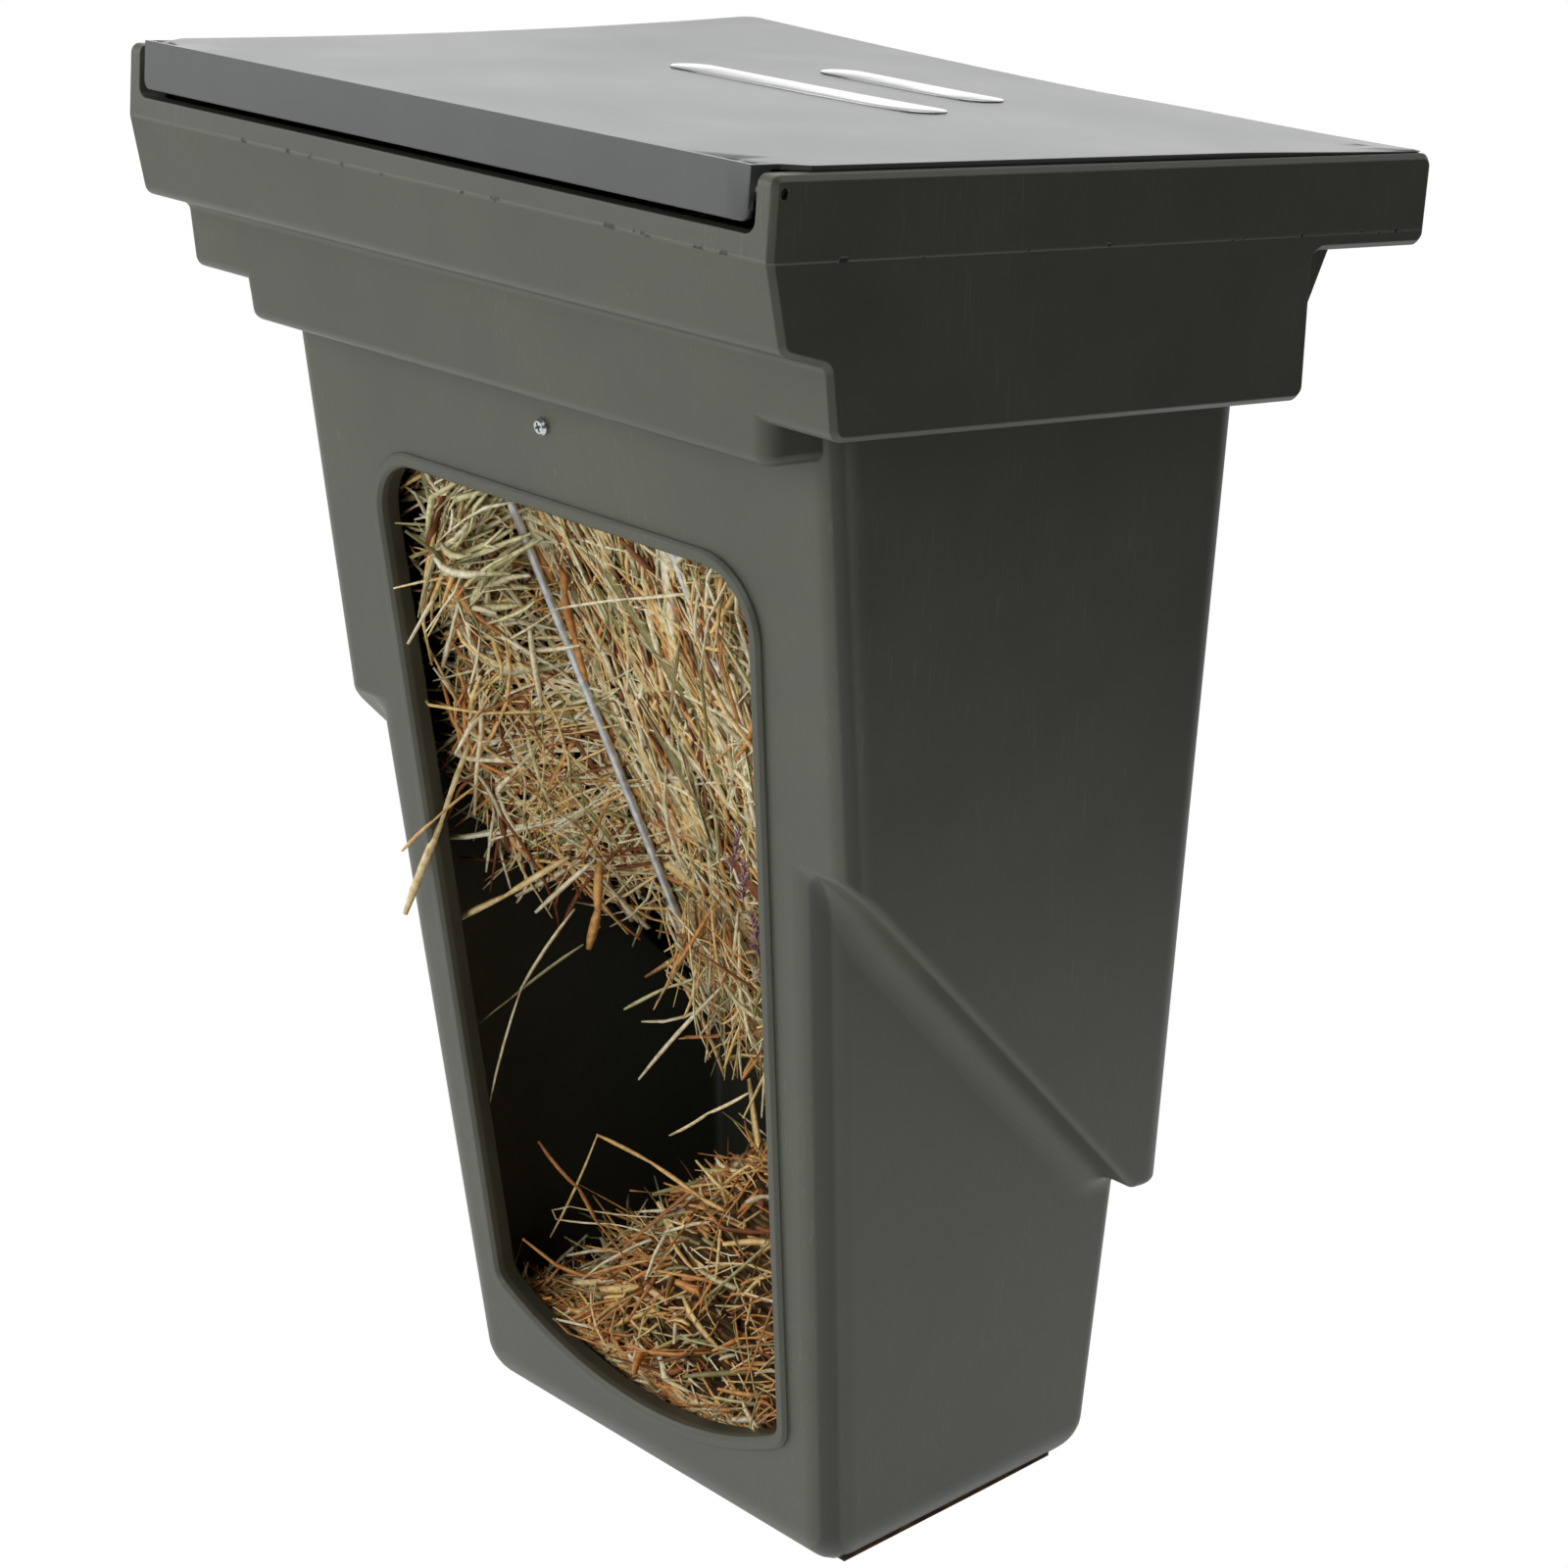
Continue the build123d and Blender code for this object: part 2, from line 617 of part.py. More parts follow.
def pan_head(diameter, height):
    """Pan head with a cross recess, its seat at Z = 0."""
    half = diameter / 2
    shoulder = (HEAD_SHOULDER * half, height)
    side = (half, HEAD_SIDE * height)
    profile = Polyline((0, 0), (half, 0), side, shoulder, (0, height), close=True)
    head = revolve(make_face(Plane.XZ * profile), Axis.Z)
    long = diameter * RECESS_LENGTH
    wide = diameter * RECESS_WIDTH
    recess = Box(long, wide, height) + Box(wide, long, height)
    return head - Pos(0, 0, height) * recess


def pan_screw(diameter, length, head_diameter, head_height):
    """Pan head screw with its seat at Z = 0 and a plain shank below."""
    shank = Pos(0, 0, -length) * Cylinder(diameter / 2, length, align=BASE)
    return pan_head(head_diameter, head_height) + shank


def rack_clip_place():
    """Frame of the top clip: on the front wall's inner face, Z into the tub."""
    return rack_screw_place() * Pos(0, -CLIP_SCREW_OFFSET, -WALL) * Rot(0, 180, 0)


def rack_clip():
    """Saddle clip that holds the rod's top against the front wall."""
    return PLACE * rack_clip_place() * saddle_clip(SCREW_DIAMETER)


def rack_screw():
    """Pan head screw through the front wall, seated on its outer face."""
    length = WALL + CLIP_THICK + WASHER_THICK + NUT_HEIGHT + SCREW_SPARE
    screw = pan_screw(SCREW_DIAMETER, length, SCREW_HEAD_DIAMETER, SCREW_HEAD_HEIGHT)
    return PLACE * rack_screw_place() * Rot(0, 0, SCREW_TURN) * screw


def rack_washer():
    """Washer between the clip and the nut."""
    ring = Cylinder(WASHER_DIAMETER / 2, WASHER_THICK, align=BASE)
    ring -= Cylinder(SCREW_DIAMETER / 2 + FIT_CLEARANCE, 4 * WASHER_THICK)
    return PLACE * rack_screw_place() * Pos(0, 0, -WALL - CLIP_THICK - WASHER_THICK) * ring


def rack_nut():
    """Hexagon nut on the rack screw, its two faces' corners taken off."""
    corners = NUT_ACROSS_FLATS / cos(radians(30))
    prism = extrude(RegularPolygon(corners / 2, 6), NUT_HEIGHT)
    turned = Cylinder(corners / 2, NUT_HEIGHT, align=BASE)
    turned = chamfer(turned.edges().filter_by(GeomType.CIRCLE), NUT_BEVEL)
    nut = (prism & turned) - Cylinder(SCREW_DIAMETER / 2 + FIT_CLEARANCE, 4 * NUT_HEIGHT)
    depth = WALL + CLIP_THICK + WASHER_THICK + NUT_HEIGHT
    return PLACE * rack_screw_place() * Pos(0, 0, -depth) * nut


def foot_clip_place(side):
    """Frame of one foot clip: on the back wall's inner face, X up the rod, Z into the tub."""
    turn = radians(LEAN)
    z = -RACK_KNEE_DROP - RACK_HEEL_FALL - FOOT_CLIP_BELOW_HEEL
    inner_y = back_wall(z) - WALL / cos(turn)
    seat = (side * RACK_HALF, inner_y, z)
    wall = Plane(origin=seat, x_dir=(0, -sin(turn), cos(turn)), z_dir=(0, -cos(turn), -sin(turn)))
    return wall * Rot(0, 0, 0 if side > 0 else 180)


def foot_clip(side):
    """Saddle clip that holds one foot of the rod to the back wall."""
    return PLACE * foot_clip_place(side) * saddle_clip(FOOT_SCREW_DIAMETER)


def foot_screw_place(side):
    """Frame of one foot screw, with its seat on the clip's tab."""
    return foot_clip_place(side) * Pos(0, CLIP_SCREW_OFFSET, CLIP_THICK)


def foot_screw(side):
    """Self-tapping screw that holds one foot clip, ending inside the back wall."""
    screw = pan_screw(
        FOOT_SCREW_DIAMETER, CLIP_THICK + FOOT_SCREW_BITE, FOOT_SCREW_HEAD_DIAMETER, FOOT_SCREW_HEAD_HEIGHT
    )
    return PLACE * foot_screw_place(side) * screw


def foot_screw_hole(side):
    """Blind hole in the back wall for one foot screw."""
    depth = CLIP_THICK + FOOT_SCREW_BITE + FIT_CLEARANCE
    bore = Cylinder(FOOT_SCREW_DIAMETER / 2 + FIT_CLEARANCE, depth, align=BASE)
    return foot_screw_place(side) * Pos(0, 0, -depth) * bore


def main():
    """Build every piece and write one STEP file for each."""
    pieces = {
        "body_shell": body_shell(),
        "lid_panel": lid_panel(),
        "hinge_pin_left": hinge_pin(-1),
        "hinge_pin_right": hinge_pin(1),
        "lid_badge_long": badge_plate(0),
        "lid_badge_short": badge_plate(1),
        "hay_rack_rod": hay_rack_rod(),
        "rack_clip": rack_clip(),
        "rack_screw": rack_screw(),
        "rack_washer": rack_washer(),
        "rack_nut": rack_nut(),
        "foot_clip_left": foot_clip(-1),
        "foot_clip_right": foot_clip(1),
        "foot_screw_left": foot_screw(-1),
        "foot_screw_right": foot_screw(1),
    }
    os.makedirs("parts", exist_ok=True)
    for name, piece in pieces.items():
        export_step(piece, f"parts/{name}.step")


if __name__ == "__main__":
    main()
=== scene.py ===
from math import cos, pi, radians, sin, tan

import bpy
import numpy as np
from mathutils import Euler, Matrix, Vector


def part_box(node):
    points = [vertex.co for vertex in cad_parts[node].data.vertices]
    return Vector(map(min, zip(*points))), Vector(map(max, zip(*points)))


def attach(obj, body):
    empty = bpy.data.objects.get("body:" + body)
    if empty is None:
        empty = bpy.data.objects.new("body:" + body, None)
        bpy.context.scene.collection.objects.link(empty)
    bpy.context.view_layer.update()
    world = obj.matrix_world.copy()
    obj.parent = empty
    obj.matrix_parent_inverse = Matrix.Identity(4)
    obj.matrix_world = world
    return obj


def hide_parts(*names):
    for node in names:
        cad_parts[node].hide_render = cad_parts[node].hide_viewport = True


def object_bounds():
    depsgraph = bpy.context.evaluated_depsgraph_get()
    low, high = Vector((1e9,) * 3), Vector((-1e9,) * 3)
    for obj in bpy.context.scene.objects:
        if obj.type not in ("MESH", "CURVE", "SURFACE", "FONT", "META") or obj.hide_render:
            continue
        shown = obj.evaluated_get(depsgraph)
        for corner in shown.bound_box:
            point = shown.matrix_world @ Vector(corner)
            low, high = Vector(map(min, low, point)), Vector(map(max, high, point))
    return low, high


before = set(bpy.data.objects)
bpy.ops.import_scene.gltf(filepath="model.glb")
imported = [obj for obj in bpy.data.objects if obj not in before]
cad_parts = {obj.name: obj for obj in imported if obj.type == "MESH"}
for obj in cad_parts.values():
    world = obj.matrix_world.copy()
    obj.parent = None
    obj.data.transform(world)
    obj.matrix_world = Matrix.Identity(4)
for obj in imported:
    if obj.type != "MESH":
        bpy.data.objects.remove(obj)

CAD_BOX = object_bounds()
MM = 0.001

# The tub is described square to its rim, in millimetres: X right, Y back from the rim's front
# edge, Z up from the rim's top. The shared frame leans it until the back wall is upright.
LEAN = radians(2.811)
BACK_AT_RIM = 425.6
WALL_HOLES_DROP = 300.0
WALL = 6.0
FRONT_LEAN = radians(10.4)
FRONT_AT_RIM = 67.2
CHAMBER_HALF_AT_RIM = 282.7
CHAMBER_DRAFT = radians(2.45)
TROUGH_HALF_AT_RIM = 268.5
TROUGH_DRAFT = radians(4.67)
LEDGE_DROP = 299.0
LEDGE_FALL_BACKWARD = 0.9
TROUGH_FRONT_DROP = 948.0
TROUGH_FRONT_DEPTH = 241.0
TROUGH_FLOOR_SLOPE = 0.15
PARTING_DROP = 46.0
RIM_DEPTH = 528.0
LID_TOP = 3.3
RACK_TOP = (115.1, -210.8)
RACK_LEAN = radians(27.92)
RACK_HALF = 83.5

# Camera: its place in metres, its turns about X, Y and Z in degrees, and its lens in millimetres
CAMERA_PLACE = (1.8135, -1.7182, 0.6011)
CAMERA_TURNS = (72.1899, -1.7137, 49.2458)
CAMERA_LENS = 86.67
CAMERA_SENSOR = 36.0

# Studio: the bright side of the room, with the cosines and levels between which it fades, and
# the lamps as name, place, aim, size and watts
SWEEP_DIRECTION = (-0.72, 0.62, 0.3)
SWEEP_LEVELS = (-0.35, 0.9, 0.02, 0.75)
LAMPS = (
    ("key", (-2.2, -2.6, 0.9), (0, -0.2, 0.0), (2.4, 2.0), 36),
    ("front", (0.55, -2.5, 0.7), (0, -0.35, -0.1), (1.3, 1.3), 20),
    ("sweep", (-2.9, 2.5, 0.9), (0, -0.2, 0.3), (3.6, 1.7), 29),
    ("top", (-0.4, 0.4, 2.6), (0, -0.2, 0.1), (1.8, 1.6), 22),
)
FLOOR_CENTRE = (-0.75, -0.75, CAD_BOX[0][2] - 0.002)
FLOOR_RADIUS = 2.3
WHITE = (1, 1, 1, 1)
PALE_GREY = (0.9, 0.9, 0.9, 1)

# Lid: how far its back left corner has crept up and its right edge has eased down, with the
# places in millimetres where each starts, how far on it is complete, and the rise's curves
LID_RISE = 12.7
RISE_START_X, RISE_REACH_X = 60, 370
RISE_CURVE_X, RISE_CURVE_Y = 1.3, 2.2
LID_FALL = 2.6
FALL_START_X, FALL_REACH_X = 100, 150
FALL_START_Y, FALL_REACH_Y = 370, 140
LID_CUT_SPACING = 0.04

# Hay: what the walls leave open, the gaps that hay keeps to the walls and the rods, and where
# its top lies, how wide and with what usual length of stem, in millimetres square to the rim
OPENING_DROPS = (262.0, 840.0)
OPENING_HALVES = (184.0, 147.0)
SILL_MARGIN = 30
LIP_REACH = 13.0
STEM_REACH = 0.5
WALL_GAP = 1.5
FRONT_GAP = 0.6
FLOOR_GAP = 2.0
LEDGE_MARGIN = 14.0
ROD_GAP = 6.5
TOP_OF_HAY = -112.0
TOP_HALF = 255
TOP_STEM = 80

# The hay's face in the rack: its top and sides, how far it lies behind the rods and the front
# wall, where it falls back, how wide its bulge left of the rods grows, and its lumps
FACE_TOP = -165
FACE_SIDES = (-204, 215)
FACE_BEHIND_RODS = 9.0
FACE_BEHIND_FRONT = 22.0
FACE_FALLS_BELOW = -480
FACE_FALLS_LEFT_OF = -160
BULGE_WIDTH = 62.0
LUMP, RIPPLE = 8, 6

# Where the leaves fan out, and where the tuft below the rack starts and how far down it hangs
FAN_SIDES = (-200, -120)
FAN_HEIGHTS = (-360, -275)
TUFT_SIDES = (-50, 90)
TUFT_TOP, TUFT_DROP = -566, 84
TUFT_DEPTH = 268

# The heap in the trough: its height at the sill, the depth where it rises and over what run
SILL_HEIGHT = -884
HEAP_START, HEAP_RUN = 232, 66
HEAP_DEPTHS = (236, 445)
HEAP_HALF = 188

# The lower edge of the hay behind the rack and the crest of the heap in the trough, each as
# places across and the height there
RACK_EDGE = ((-225, -478), (-150, -526), (-85, -612), (-60, -656), (60, -692), (225, -705))
HEAP_CREST = (
    (-190, -892), (-150, -866), (-97, -818), (-45, -776), (0, -728), (45, -702), (190, -686),
)

# Tones of dry stems, red brown to pale green, and each heap's shares of them
RED_BROWN, ORANGE, GOLD, STRAW, OLIVE, PALE_GREEN = 0.05, 0.2, 0.38, 0.58, 0.78, 0.95
TONES = (RED_BROWN, ORANGE, GOLD, STRAW, OLIVE, PALE_GREEN)
RACK_SHARES = (0.1, 0.11, 0.26, 0.36, 0.11, 0.06)
TROUGH_SHARES = (0.12, 0.42, 0.22, 0.1, 0.1, 0.04)
TONE_SPREAD = 0.035

# The stems that stand out, each as half width, half thickness, tone and the points it bends at
LONG_STRAWS = (
    (2.0, 1.0, 0.56, (-205, 190, -410), (-60, 170, -335), (20, 165, -310), (90, 155, -290)),
    (2.0, 1.0, 0.5, (90, 155, -290), (135, 160, -330)),
    (1.9, 0.9, 0.6, (-205, 195, -410), (-125, 190, -380), (-55, 185, -360)),
    (1.7, 0.8, 0.5, (-190, 160, -310), (-205, 170, -370), (-160, 180, -380), (-120, 195, -390)),
    (3.6, 0.4, 0.88, (-175, 185, -355), (-115, 170, -320), (-75, 170, -295)),
    (3.0, 0.5, 0.17, (-65, 175, -300), (-60, 175, -325), (-60, 185, -355), (-70, 205, -390)),
    (3.1, 2.2, 0.47, (-155, 195, -395), (-155, 180, -440), (-170, 165, -510), (-185, 150, -575)),
    (1.5, 1.0, 0.33, (-155, 185, -480), (-165, 155, -505), (-185, 145, -530)),
    (2.4, 1.2, 0.42, (-105, 225, -525), (-145, 205, -560), (-195, 190, -595)),
    (1.9, 1.0, 0.58, (-90, 235, -525), (-130, 220, -570)),
    (1.2, 0.8, 0.52, (-145, 225, -510), (-155, 225, -540), (-155, 230, -560), (-165, 230, -575)),
    (1.7, 1.0, 0.52, (-120, 245, -570), (-155, 230, -635), (-165, 215, -720)),
    (1.8, 0.8, 0.74, (-115, 250, -595), (-165, 230, -645), (-185, 205, -675)),
    (3.4, 0.6, 0.24, (-95, 245, -530), (-100, 250, -565), (-120, 260, -600)),
    (1.8, 1.0, 0.55, (0, 280, -595), (-75, 275, -685)),
    (1.6, 0.9, 0.92, (0, 285, -580), (-60, 280, -615), (-95, 275, -640)),
    (2.2, 1.2, 0.47, (-20, 260, -705), (40, 240, -665), (95, 225, -630)),
    (1.7, 0.9, 0.36, (-145, 260, -825), (-105, 265, -735)),
    (1.7, 0.9, 0.3, (-105, 265, -735), (-45, 265, -735), (5, 270, -745), (30, 270, -745)),
    (1.7, 0.9, 0.13, (-145, 245, -750), (-110, 255, -775), (-95, 260, -795), (-65, 265, -815)),
    (
        0.9, 0.6, 0.5, (-40, 270, -775), (-125, 260, -795), (-145, 260, -805),
        (-140, 260, -810), (-85, 265, -795), (-40, 270, -790),
    ),
    (2.0, 0.8, 0.9, (-145, 260, -865), (-115, 265, -865), (-55, 260, -860), (95, 245, -820)),
    (1.9, 0.8, 0.8, (-150, 265, -860), (-35, 265, -840)),
    (2.0, 0.8, 0.85, (-100, 265, -885), (-40, 265, -855), (15, 260, -820), (105, 245, -735)),
)

# The seed heads, each as foot, tip and tone, and how their spikelets stand
SEED_HEADS = (
    ((125, 172, -462), (132, 170, -432), 0.4),
    ((138, 172, -478), (139, 170, -452), 0.45),
    ((146, 180, -512), (140, 178, -486), 0.3),
    ((150, 182, -528), (141, 181, -521), 0.8),
)
SPIKELETS = 46
SPIKELET_LENGTH = 5.5


# ---------------------------------------------------------------- materials

# What some nodes are set to
TIMES = {"operation": "MULTIPLY"}
TIMES_AND_PLUS = {"operation": "MULTIPLY_ADD"}
LARGER = {"operation": "MAXIMUM"}
WITHOUT_SIGN = {"operation": "ABSOLUTE"}
DOT = {"operation": "DOT_PRODUCT"}
EASED = {"interpolation_type": "SMOOTHSTEP"}
COLOURS = {"data_type": "RGBA"}
COLOURS_TIMES = {"data_type": "RGBA", "blend_type": "MULTIPLY"}
TONE = {"attribute_name": "tone"}
DOWNWARD = {"invert": True}


def linear(hex_colour):
    """Linear RGBA from an sRGB hex colour."""
    channels = [int(hex_colour[i : i + 2], 16) / 255 for i in (1, 3, 5)]
    return tuple(c / 12.92 if c <= 0.04045 else ((c + 0.055) / 1.055) ** 2.4 for c in channels) + (1.0,)


def feed(owner, node, **values):
    """Give a node's inputs, by name or by i and number, each an output socket or a constant."""
    for name, value in values.items():
        numbered = name[0] == "i" and name[1:].isdigit()
        socket = node.inputs[int(name[1:]) if numbered else name.replace("_", " ")]
        if isinstance(value, bpy.types.NodeSocket):
            owner.node_tree.links.new(value, socket)
        else:
            socket.default_value = value


def add(owner, kind, output, settings=(), stops=(), **values):
    """Add a node with its settings, a ramp's (place, hex colour) stops and its inputs; gives an output."""
    node = owner.node_tree.nodes.new(kind)
    for name, value in dict(settings).items():
        setattr(node, name, value)
    while stops and len(node.color_ramp.elements) < len(stops):
        node.color_ramp.elements.new(1.0)
    for number, (place, colour) in enumerate(stops):
        node.color_ramp.elements[number].position = place
        node.color_ramp.elements[number].color = linear(colour)
    feed(owner, node, **values)
    return node.outputs[output]


def new_material(name):
    """An empty node material; gives the material and its Principled shader."""
    material = bpy.data.materials.new(name)
    material.use_nodes = True
    return material, material.node_tree.nodes["Principled BSDF"]


def height_above_rim(material, place):
    """Height in metres square to the rim, 0 at its top."""
    rim_up = (0, sin(LEAN), cos(LEAN))
    along = add(material, "ShaderNodeVectorMath", "Value", DOT, i0=place, i1=rim_up)
    shift = (BACK_AT_RIM * sin(LEAN) - WALL_HOLES_DROP) * cos(LEAN) * MM
    return add(material, "ShaderNodeMath", "Value", i0=along, i1=shift)


def depth_behind_rim(material, place):
    """Depth in metres square to the rim, 0 at its front edge."""
    rim_back = (0, cos(LEAN), -sin(LEAN))
    along = add(material, "ShaderNodeVectorMath", "Value", DOT, i0=place, i1=rim_back)
    shift = (BACK_AT_RIM * cos(LEAN) ** 2 + WALL_HOLES_DROP * sin(LEAN)) * MM
    return add(material, "ShaderNodeMath", "Value", i0=along, i1=shift)


def near_line(material, distance, half_width):
    """1 on a line and fading to 0 at half_width from it; distance is signed."""
    away = add(material, "ShaderNodeMath", "Value", WITHOUT_SIGN, i0=distance)
    return add(
        material, "ShaderNodeMapRange", "Result", EASED,
        Value=away, From_Max=half_width, To_Min=1.0, To_Max=0.0,
    )


def inside_tub_shade_mask(material, place):
    """1 on the faces that look into the tub, which take the painted shade, from the planes of its walls, 0
    outside.
    """
    side = add(material, "ShaderNodeSeparateXYZ", "X", Vector=place)
    across = add(material, "ShaderNodeMath", "Value", WITHOUT_SIGN, i0=side)
    up = height_above_rim(material, place)
    back = depth_behind_rim(material, place)

    def past_wall(value, slope, start, before, beyond):
        """before short of a wall and beyond past it; it starts at start at the rim and slopes below."""
        tilted = add(material, "ShaderNodeMath", "Value", TIMES_AND_PLUS, i0=up, i1=slope, i2=value)
        return add(
            material, "ShaderNodeMapRange", "Result", EASED, Value=tilted,
            From_Min=(start - 1) * MM, From_Max=(start + 1) * MM, To_Min=before, To_Max=beyond,
        )

    behind_front = past_wall(back, tan(FRONT_LEAN), FRONT_AT_RIM + WALL / 2, 0, 1)
    before_back = past_wall(back, tan(LEAN), BACK_AT_RIM - WALL / 2, 1, 0)
    in_trough = past_wall(across, -tan(TROUGH_DRAFT), TROUGH_HALF_AT_RIM - WALL / 2, 1, 0)
    in_chamber = past_wall(across, -tan(CHAMBER_DRAFT), CHAMBER_HALF_AT_RIM - WALL / 2, 1, 0)
    over_ledge = add(
        material, "ShaderNodeMath", "Value", TIMES_AND_PLUS, i0=back, i1=LEDGE_FALL_BACKWARD, i2=up
    )
    above_ledge = add(
        material, "ShaderNodeMapRange", "Result", EASED, Value=over_ledge,
        From_Min=-(LEDGE_DROP - 2) * MM, From_Max=-(LEDGE_DROP - 5) * MM,
    )
    upper = add(material, "ShaderNodeMath", "Value", TIMES, i0=in_chamber, i1=above_ledge)
    between_sides = add(material, "ShaderNodeMath", "Value", LARGER, i0=in_trough, i1=upper)
    between_walls = add(material, "ShaderNodeMath", "Value", TIMES, i0=behind_front, i1=before_back)
    return add(material, "ShaderNodeMath", "Value", TIMES, i0=between_walls, i1=between_sides)


def tub_marks_and_inner_shade(material, place, colour, normal):
    """The tub's mould parting line with its pits darkened by painted shade, rubbed scuffs, and painted shade
    on the faces inside the tub.
    """
    up = height_above_rim(material, place)
    off_line = add(material, "ShaderNodeMath", "Value", i0=up, i1=PARTING_DROP * MM)
    line = near_line(material, off_line, 0.0013)
    # pits about 9 mm apart in the flash of the parting line, later darkened near black as painted shade in
    # their hollows
    pitted = add(material, "ShaderNodeTexNoise", "Fac", Vector=place, Scale=1 / 0.009, Detail=1.0)
    deep = add(material, "ShaderNodeMapRange", "Result", EASED, Value=pitted, From_Min=0.62, From_Max=0.68)
    by_line = near_line(material, off_line, 0.0024)
    pits = add(material, "ShaderNodeMath", "Value", TIMES, i0=by_line, i1=deep)
    # scratches 1.4 mm wide and 40 mm long, in rubbed patches of 110 mm
    lay = add(
        material, "ShaderNodeMapping", "Vector",
        Vector=place, Rotation=(0.25, 0.1, 0.0), Scale=(700.0, 700.0, 26.0),
    )
    streak = add(material, "ShaderNodeTexNoise", "Fac", Vector=lay, Scale=1.0, Detail=2.0)
    scratch = add(material, "ShaderNodeMapRange", "Result", EASED, Value=streak, From_Min=0.62, From_Max=0.7)
    patch = add(material, "ShaderNodeTexNoise", "Fac", Vector=place, Scale=1 / 0.11, Detail=1.0)
    rubbed = add(material, "ShaderNodeMapRange", "Result", EASED, Value=patch, From_Min=0.46, From_Max=0.62)
    scuffs = add(material, "ShaderNodeMath", "Value", TIMES, i0=scratch, i1=rubbed)
    # the faces inside the tub, darkened below as painted shade
    inside = inside_tub_shade_mask(material, place)
    # the pits are mixed near black and the faces inside the tub dark, both as painted shade
    marks = (
        (line, 0.12, "#8a8c84"), (scuffs, 0.16, "#8f9087"),
        (pits, 0.85, "#1b1b18"), (inside, 0.6, "#15140f"),
    )
    for where, strength, shade in marks:
        share = add(material, "ShaderNodeMath", "Value", TIMES, i0=where, i1=strength)
        colour = add(material, "ShaderNodeMix", "Result", COLOURS, Factor=share, A=colour, B=linear(shade))
    ridge = add(
        material, "ShaderNodeBump", "Normal", Strength=0.7, Distance=0.0006, Height=line, Normal=normal
    )
    hollow = add(
        material, "ShaderNodeBump", "Normal", DOWNWARD,
        Strength=0.8, Distance=0.001, Height=pits, Normal=ridge,
    )
    return colour, hollow


def moulded_polyethylene(name, dark, light, rough_low, rough_high, marks=None):
    """Moulded polyethylene: satin, faintly mottled, with the fine pebble of the mould's skin."""
    material, shader = new_material(name)
    place = add(material, "ShaderNodeTexCoord", "Object")
    # mottle in patches of 110 mm
    mottle = add(material, "ShaderNodeTexNoise", "Fac", Vector=place, Scale=9.0, Detail=3.0, Roughness=0.6)
    colour = add(material, "ShaderNodeValToRGB", "Color", stops=((0.3, dark), (0.7, light)), Fac=mottle)
    rough = add(material, "ShaderNodeMapRange", "Result", Value=mottle, To_Min=rough_low, To_Max=rough_high)
    # edges rounded by 1.6 mm, and a swell in the wall every 60 mm
    edge = add(material, "ShaderNodeBevel", "Normal", {"samples": 6}, Radius=0.0016)
    swell = add(material, "ShaderNodeTexNoise", "Fac", Vector=place, Scale=1 / 0.06, Detail=1.0)
    wave = add(
        material, "ShaderNodeBump", "Normal", Strength=0.25, Distance=0.0012, Height=swell, Normal=edge
    )
    # pebble 1.6 mm across, drawn coarser than the real 0.5 mm so that it shows
    pebble = add(material, "ShaderNodeTexNoise", "Fac", Vector=place, Scale=1 / 0.0016, Detail=2.0)
    normal = add(
        material, "ShaderNodeBump", "Normal", Strength=0.12, Distance=0.0002, Height=pebble, Normal=wave
    )
    if marks:
        colour, normal = marks(material, place, colour, normal)
    feed(material, shader, Base_Color=colour, Roughness=rough, IOR=1.51, Normal=normal)
    return material


def galvanised_steel():
    """Hot dip galvanised rod: matt grey-white zinc with soft cloudy spangle."""
    material, shader = new_material("galvanised_steel_rod")
    place = add(material, "ShaderNodeTexCoord", "Object")
    # spangle 8 mm across
    cloud = add(material, "ShaderNodeTexNoise", "Fac", Vector=place, Scale=1 / 0.008, Detail=4.0)
    zinc = ((0.35, "#b9bdc1"), (0.65, "#e2e5e8"))
    colour = add(material, "ShaderNodeValToRGB", "Color", stops=zinc, Fac=cloud)
    bump = add(material, "ShaderNodeBump", "Normal", Strength=0.2, Distance=0.0002, Height=cloud)
    feed(material, shader, Base_Color=colour, Metallic=0.55, Roughness=0.45, Normal=bump)
    return material


def zinc_plate():
    """Bright zinc electroplate: cool silver with slight unevenness in its gloss."""
    material, shader = new_material("bright_zinc_plate")
    place = add(material, "ShaderNodeTexCoord", "Object")
    # unevenness 3 mm across
    grain = add(material, "ShaderNodeTexNoise", "Fac", Vector=place, Scale=1 / 0.003, Detail=3.0)
    silver = ((0.3, "#b9bcbd"), (0.7, "#dadcdc"))
    colour = add(material, "ShaderNodeValToRGB", "Color", stops=silver, Fac=grain)
    feed(material, shader, Base_Color=colour, Metallic=1.0, Roughness=0.28)
    return material


def brushed_stainless():
    """Brushed stainless sheet: pale, with fine straight brushing along the bars."""
    material, shader = new_material("brushed_stainless_sheet")
    place = add(material, "ShaderNodeTexCoord", "Object")
    # brush marks 1.1 mm wide and 80 mm long, drawn coarser than real ones so that they show
    lay = add(material, "ShaderNodeMapping", "Vector", Vector=place, Scale=(12.0, 900.0, 900.0))
    brush = add(material, "ShaderNodeTexNoise", "Fac", Vector=lay, Scale=1.0, Detail=3.0)
    steel = ((0.3, "#9fa19f"), (0.7, "#c2c4c1"))
    colour = add(material, "ShaderNodeValToRGB", "Color", stops=steel, Fac=brush)
    bump = add(material, "ShaderNodeBump", "Normal", Strength=0.1, Distance=0.0001, Height=brush)
    feed(material, shader, Base_Color=colour, Metallic=0.9, Roughness=0.34, Normal=bump)
    return material


def dress(node, material):
    """Give a CAD node its finish."""
    mesh = bpy.data.objects[node].data
    mesh.materials.clear()
    mesh.materials.append(material)


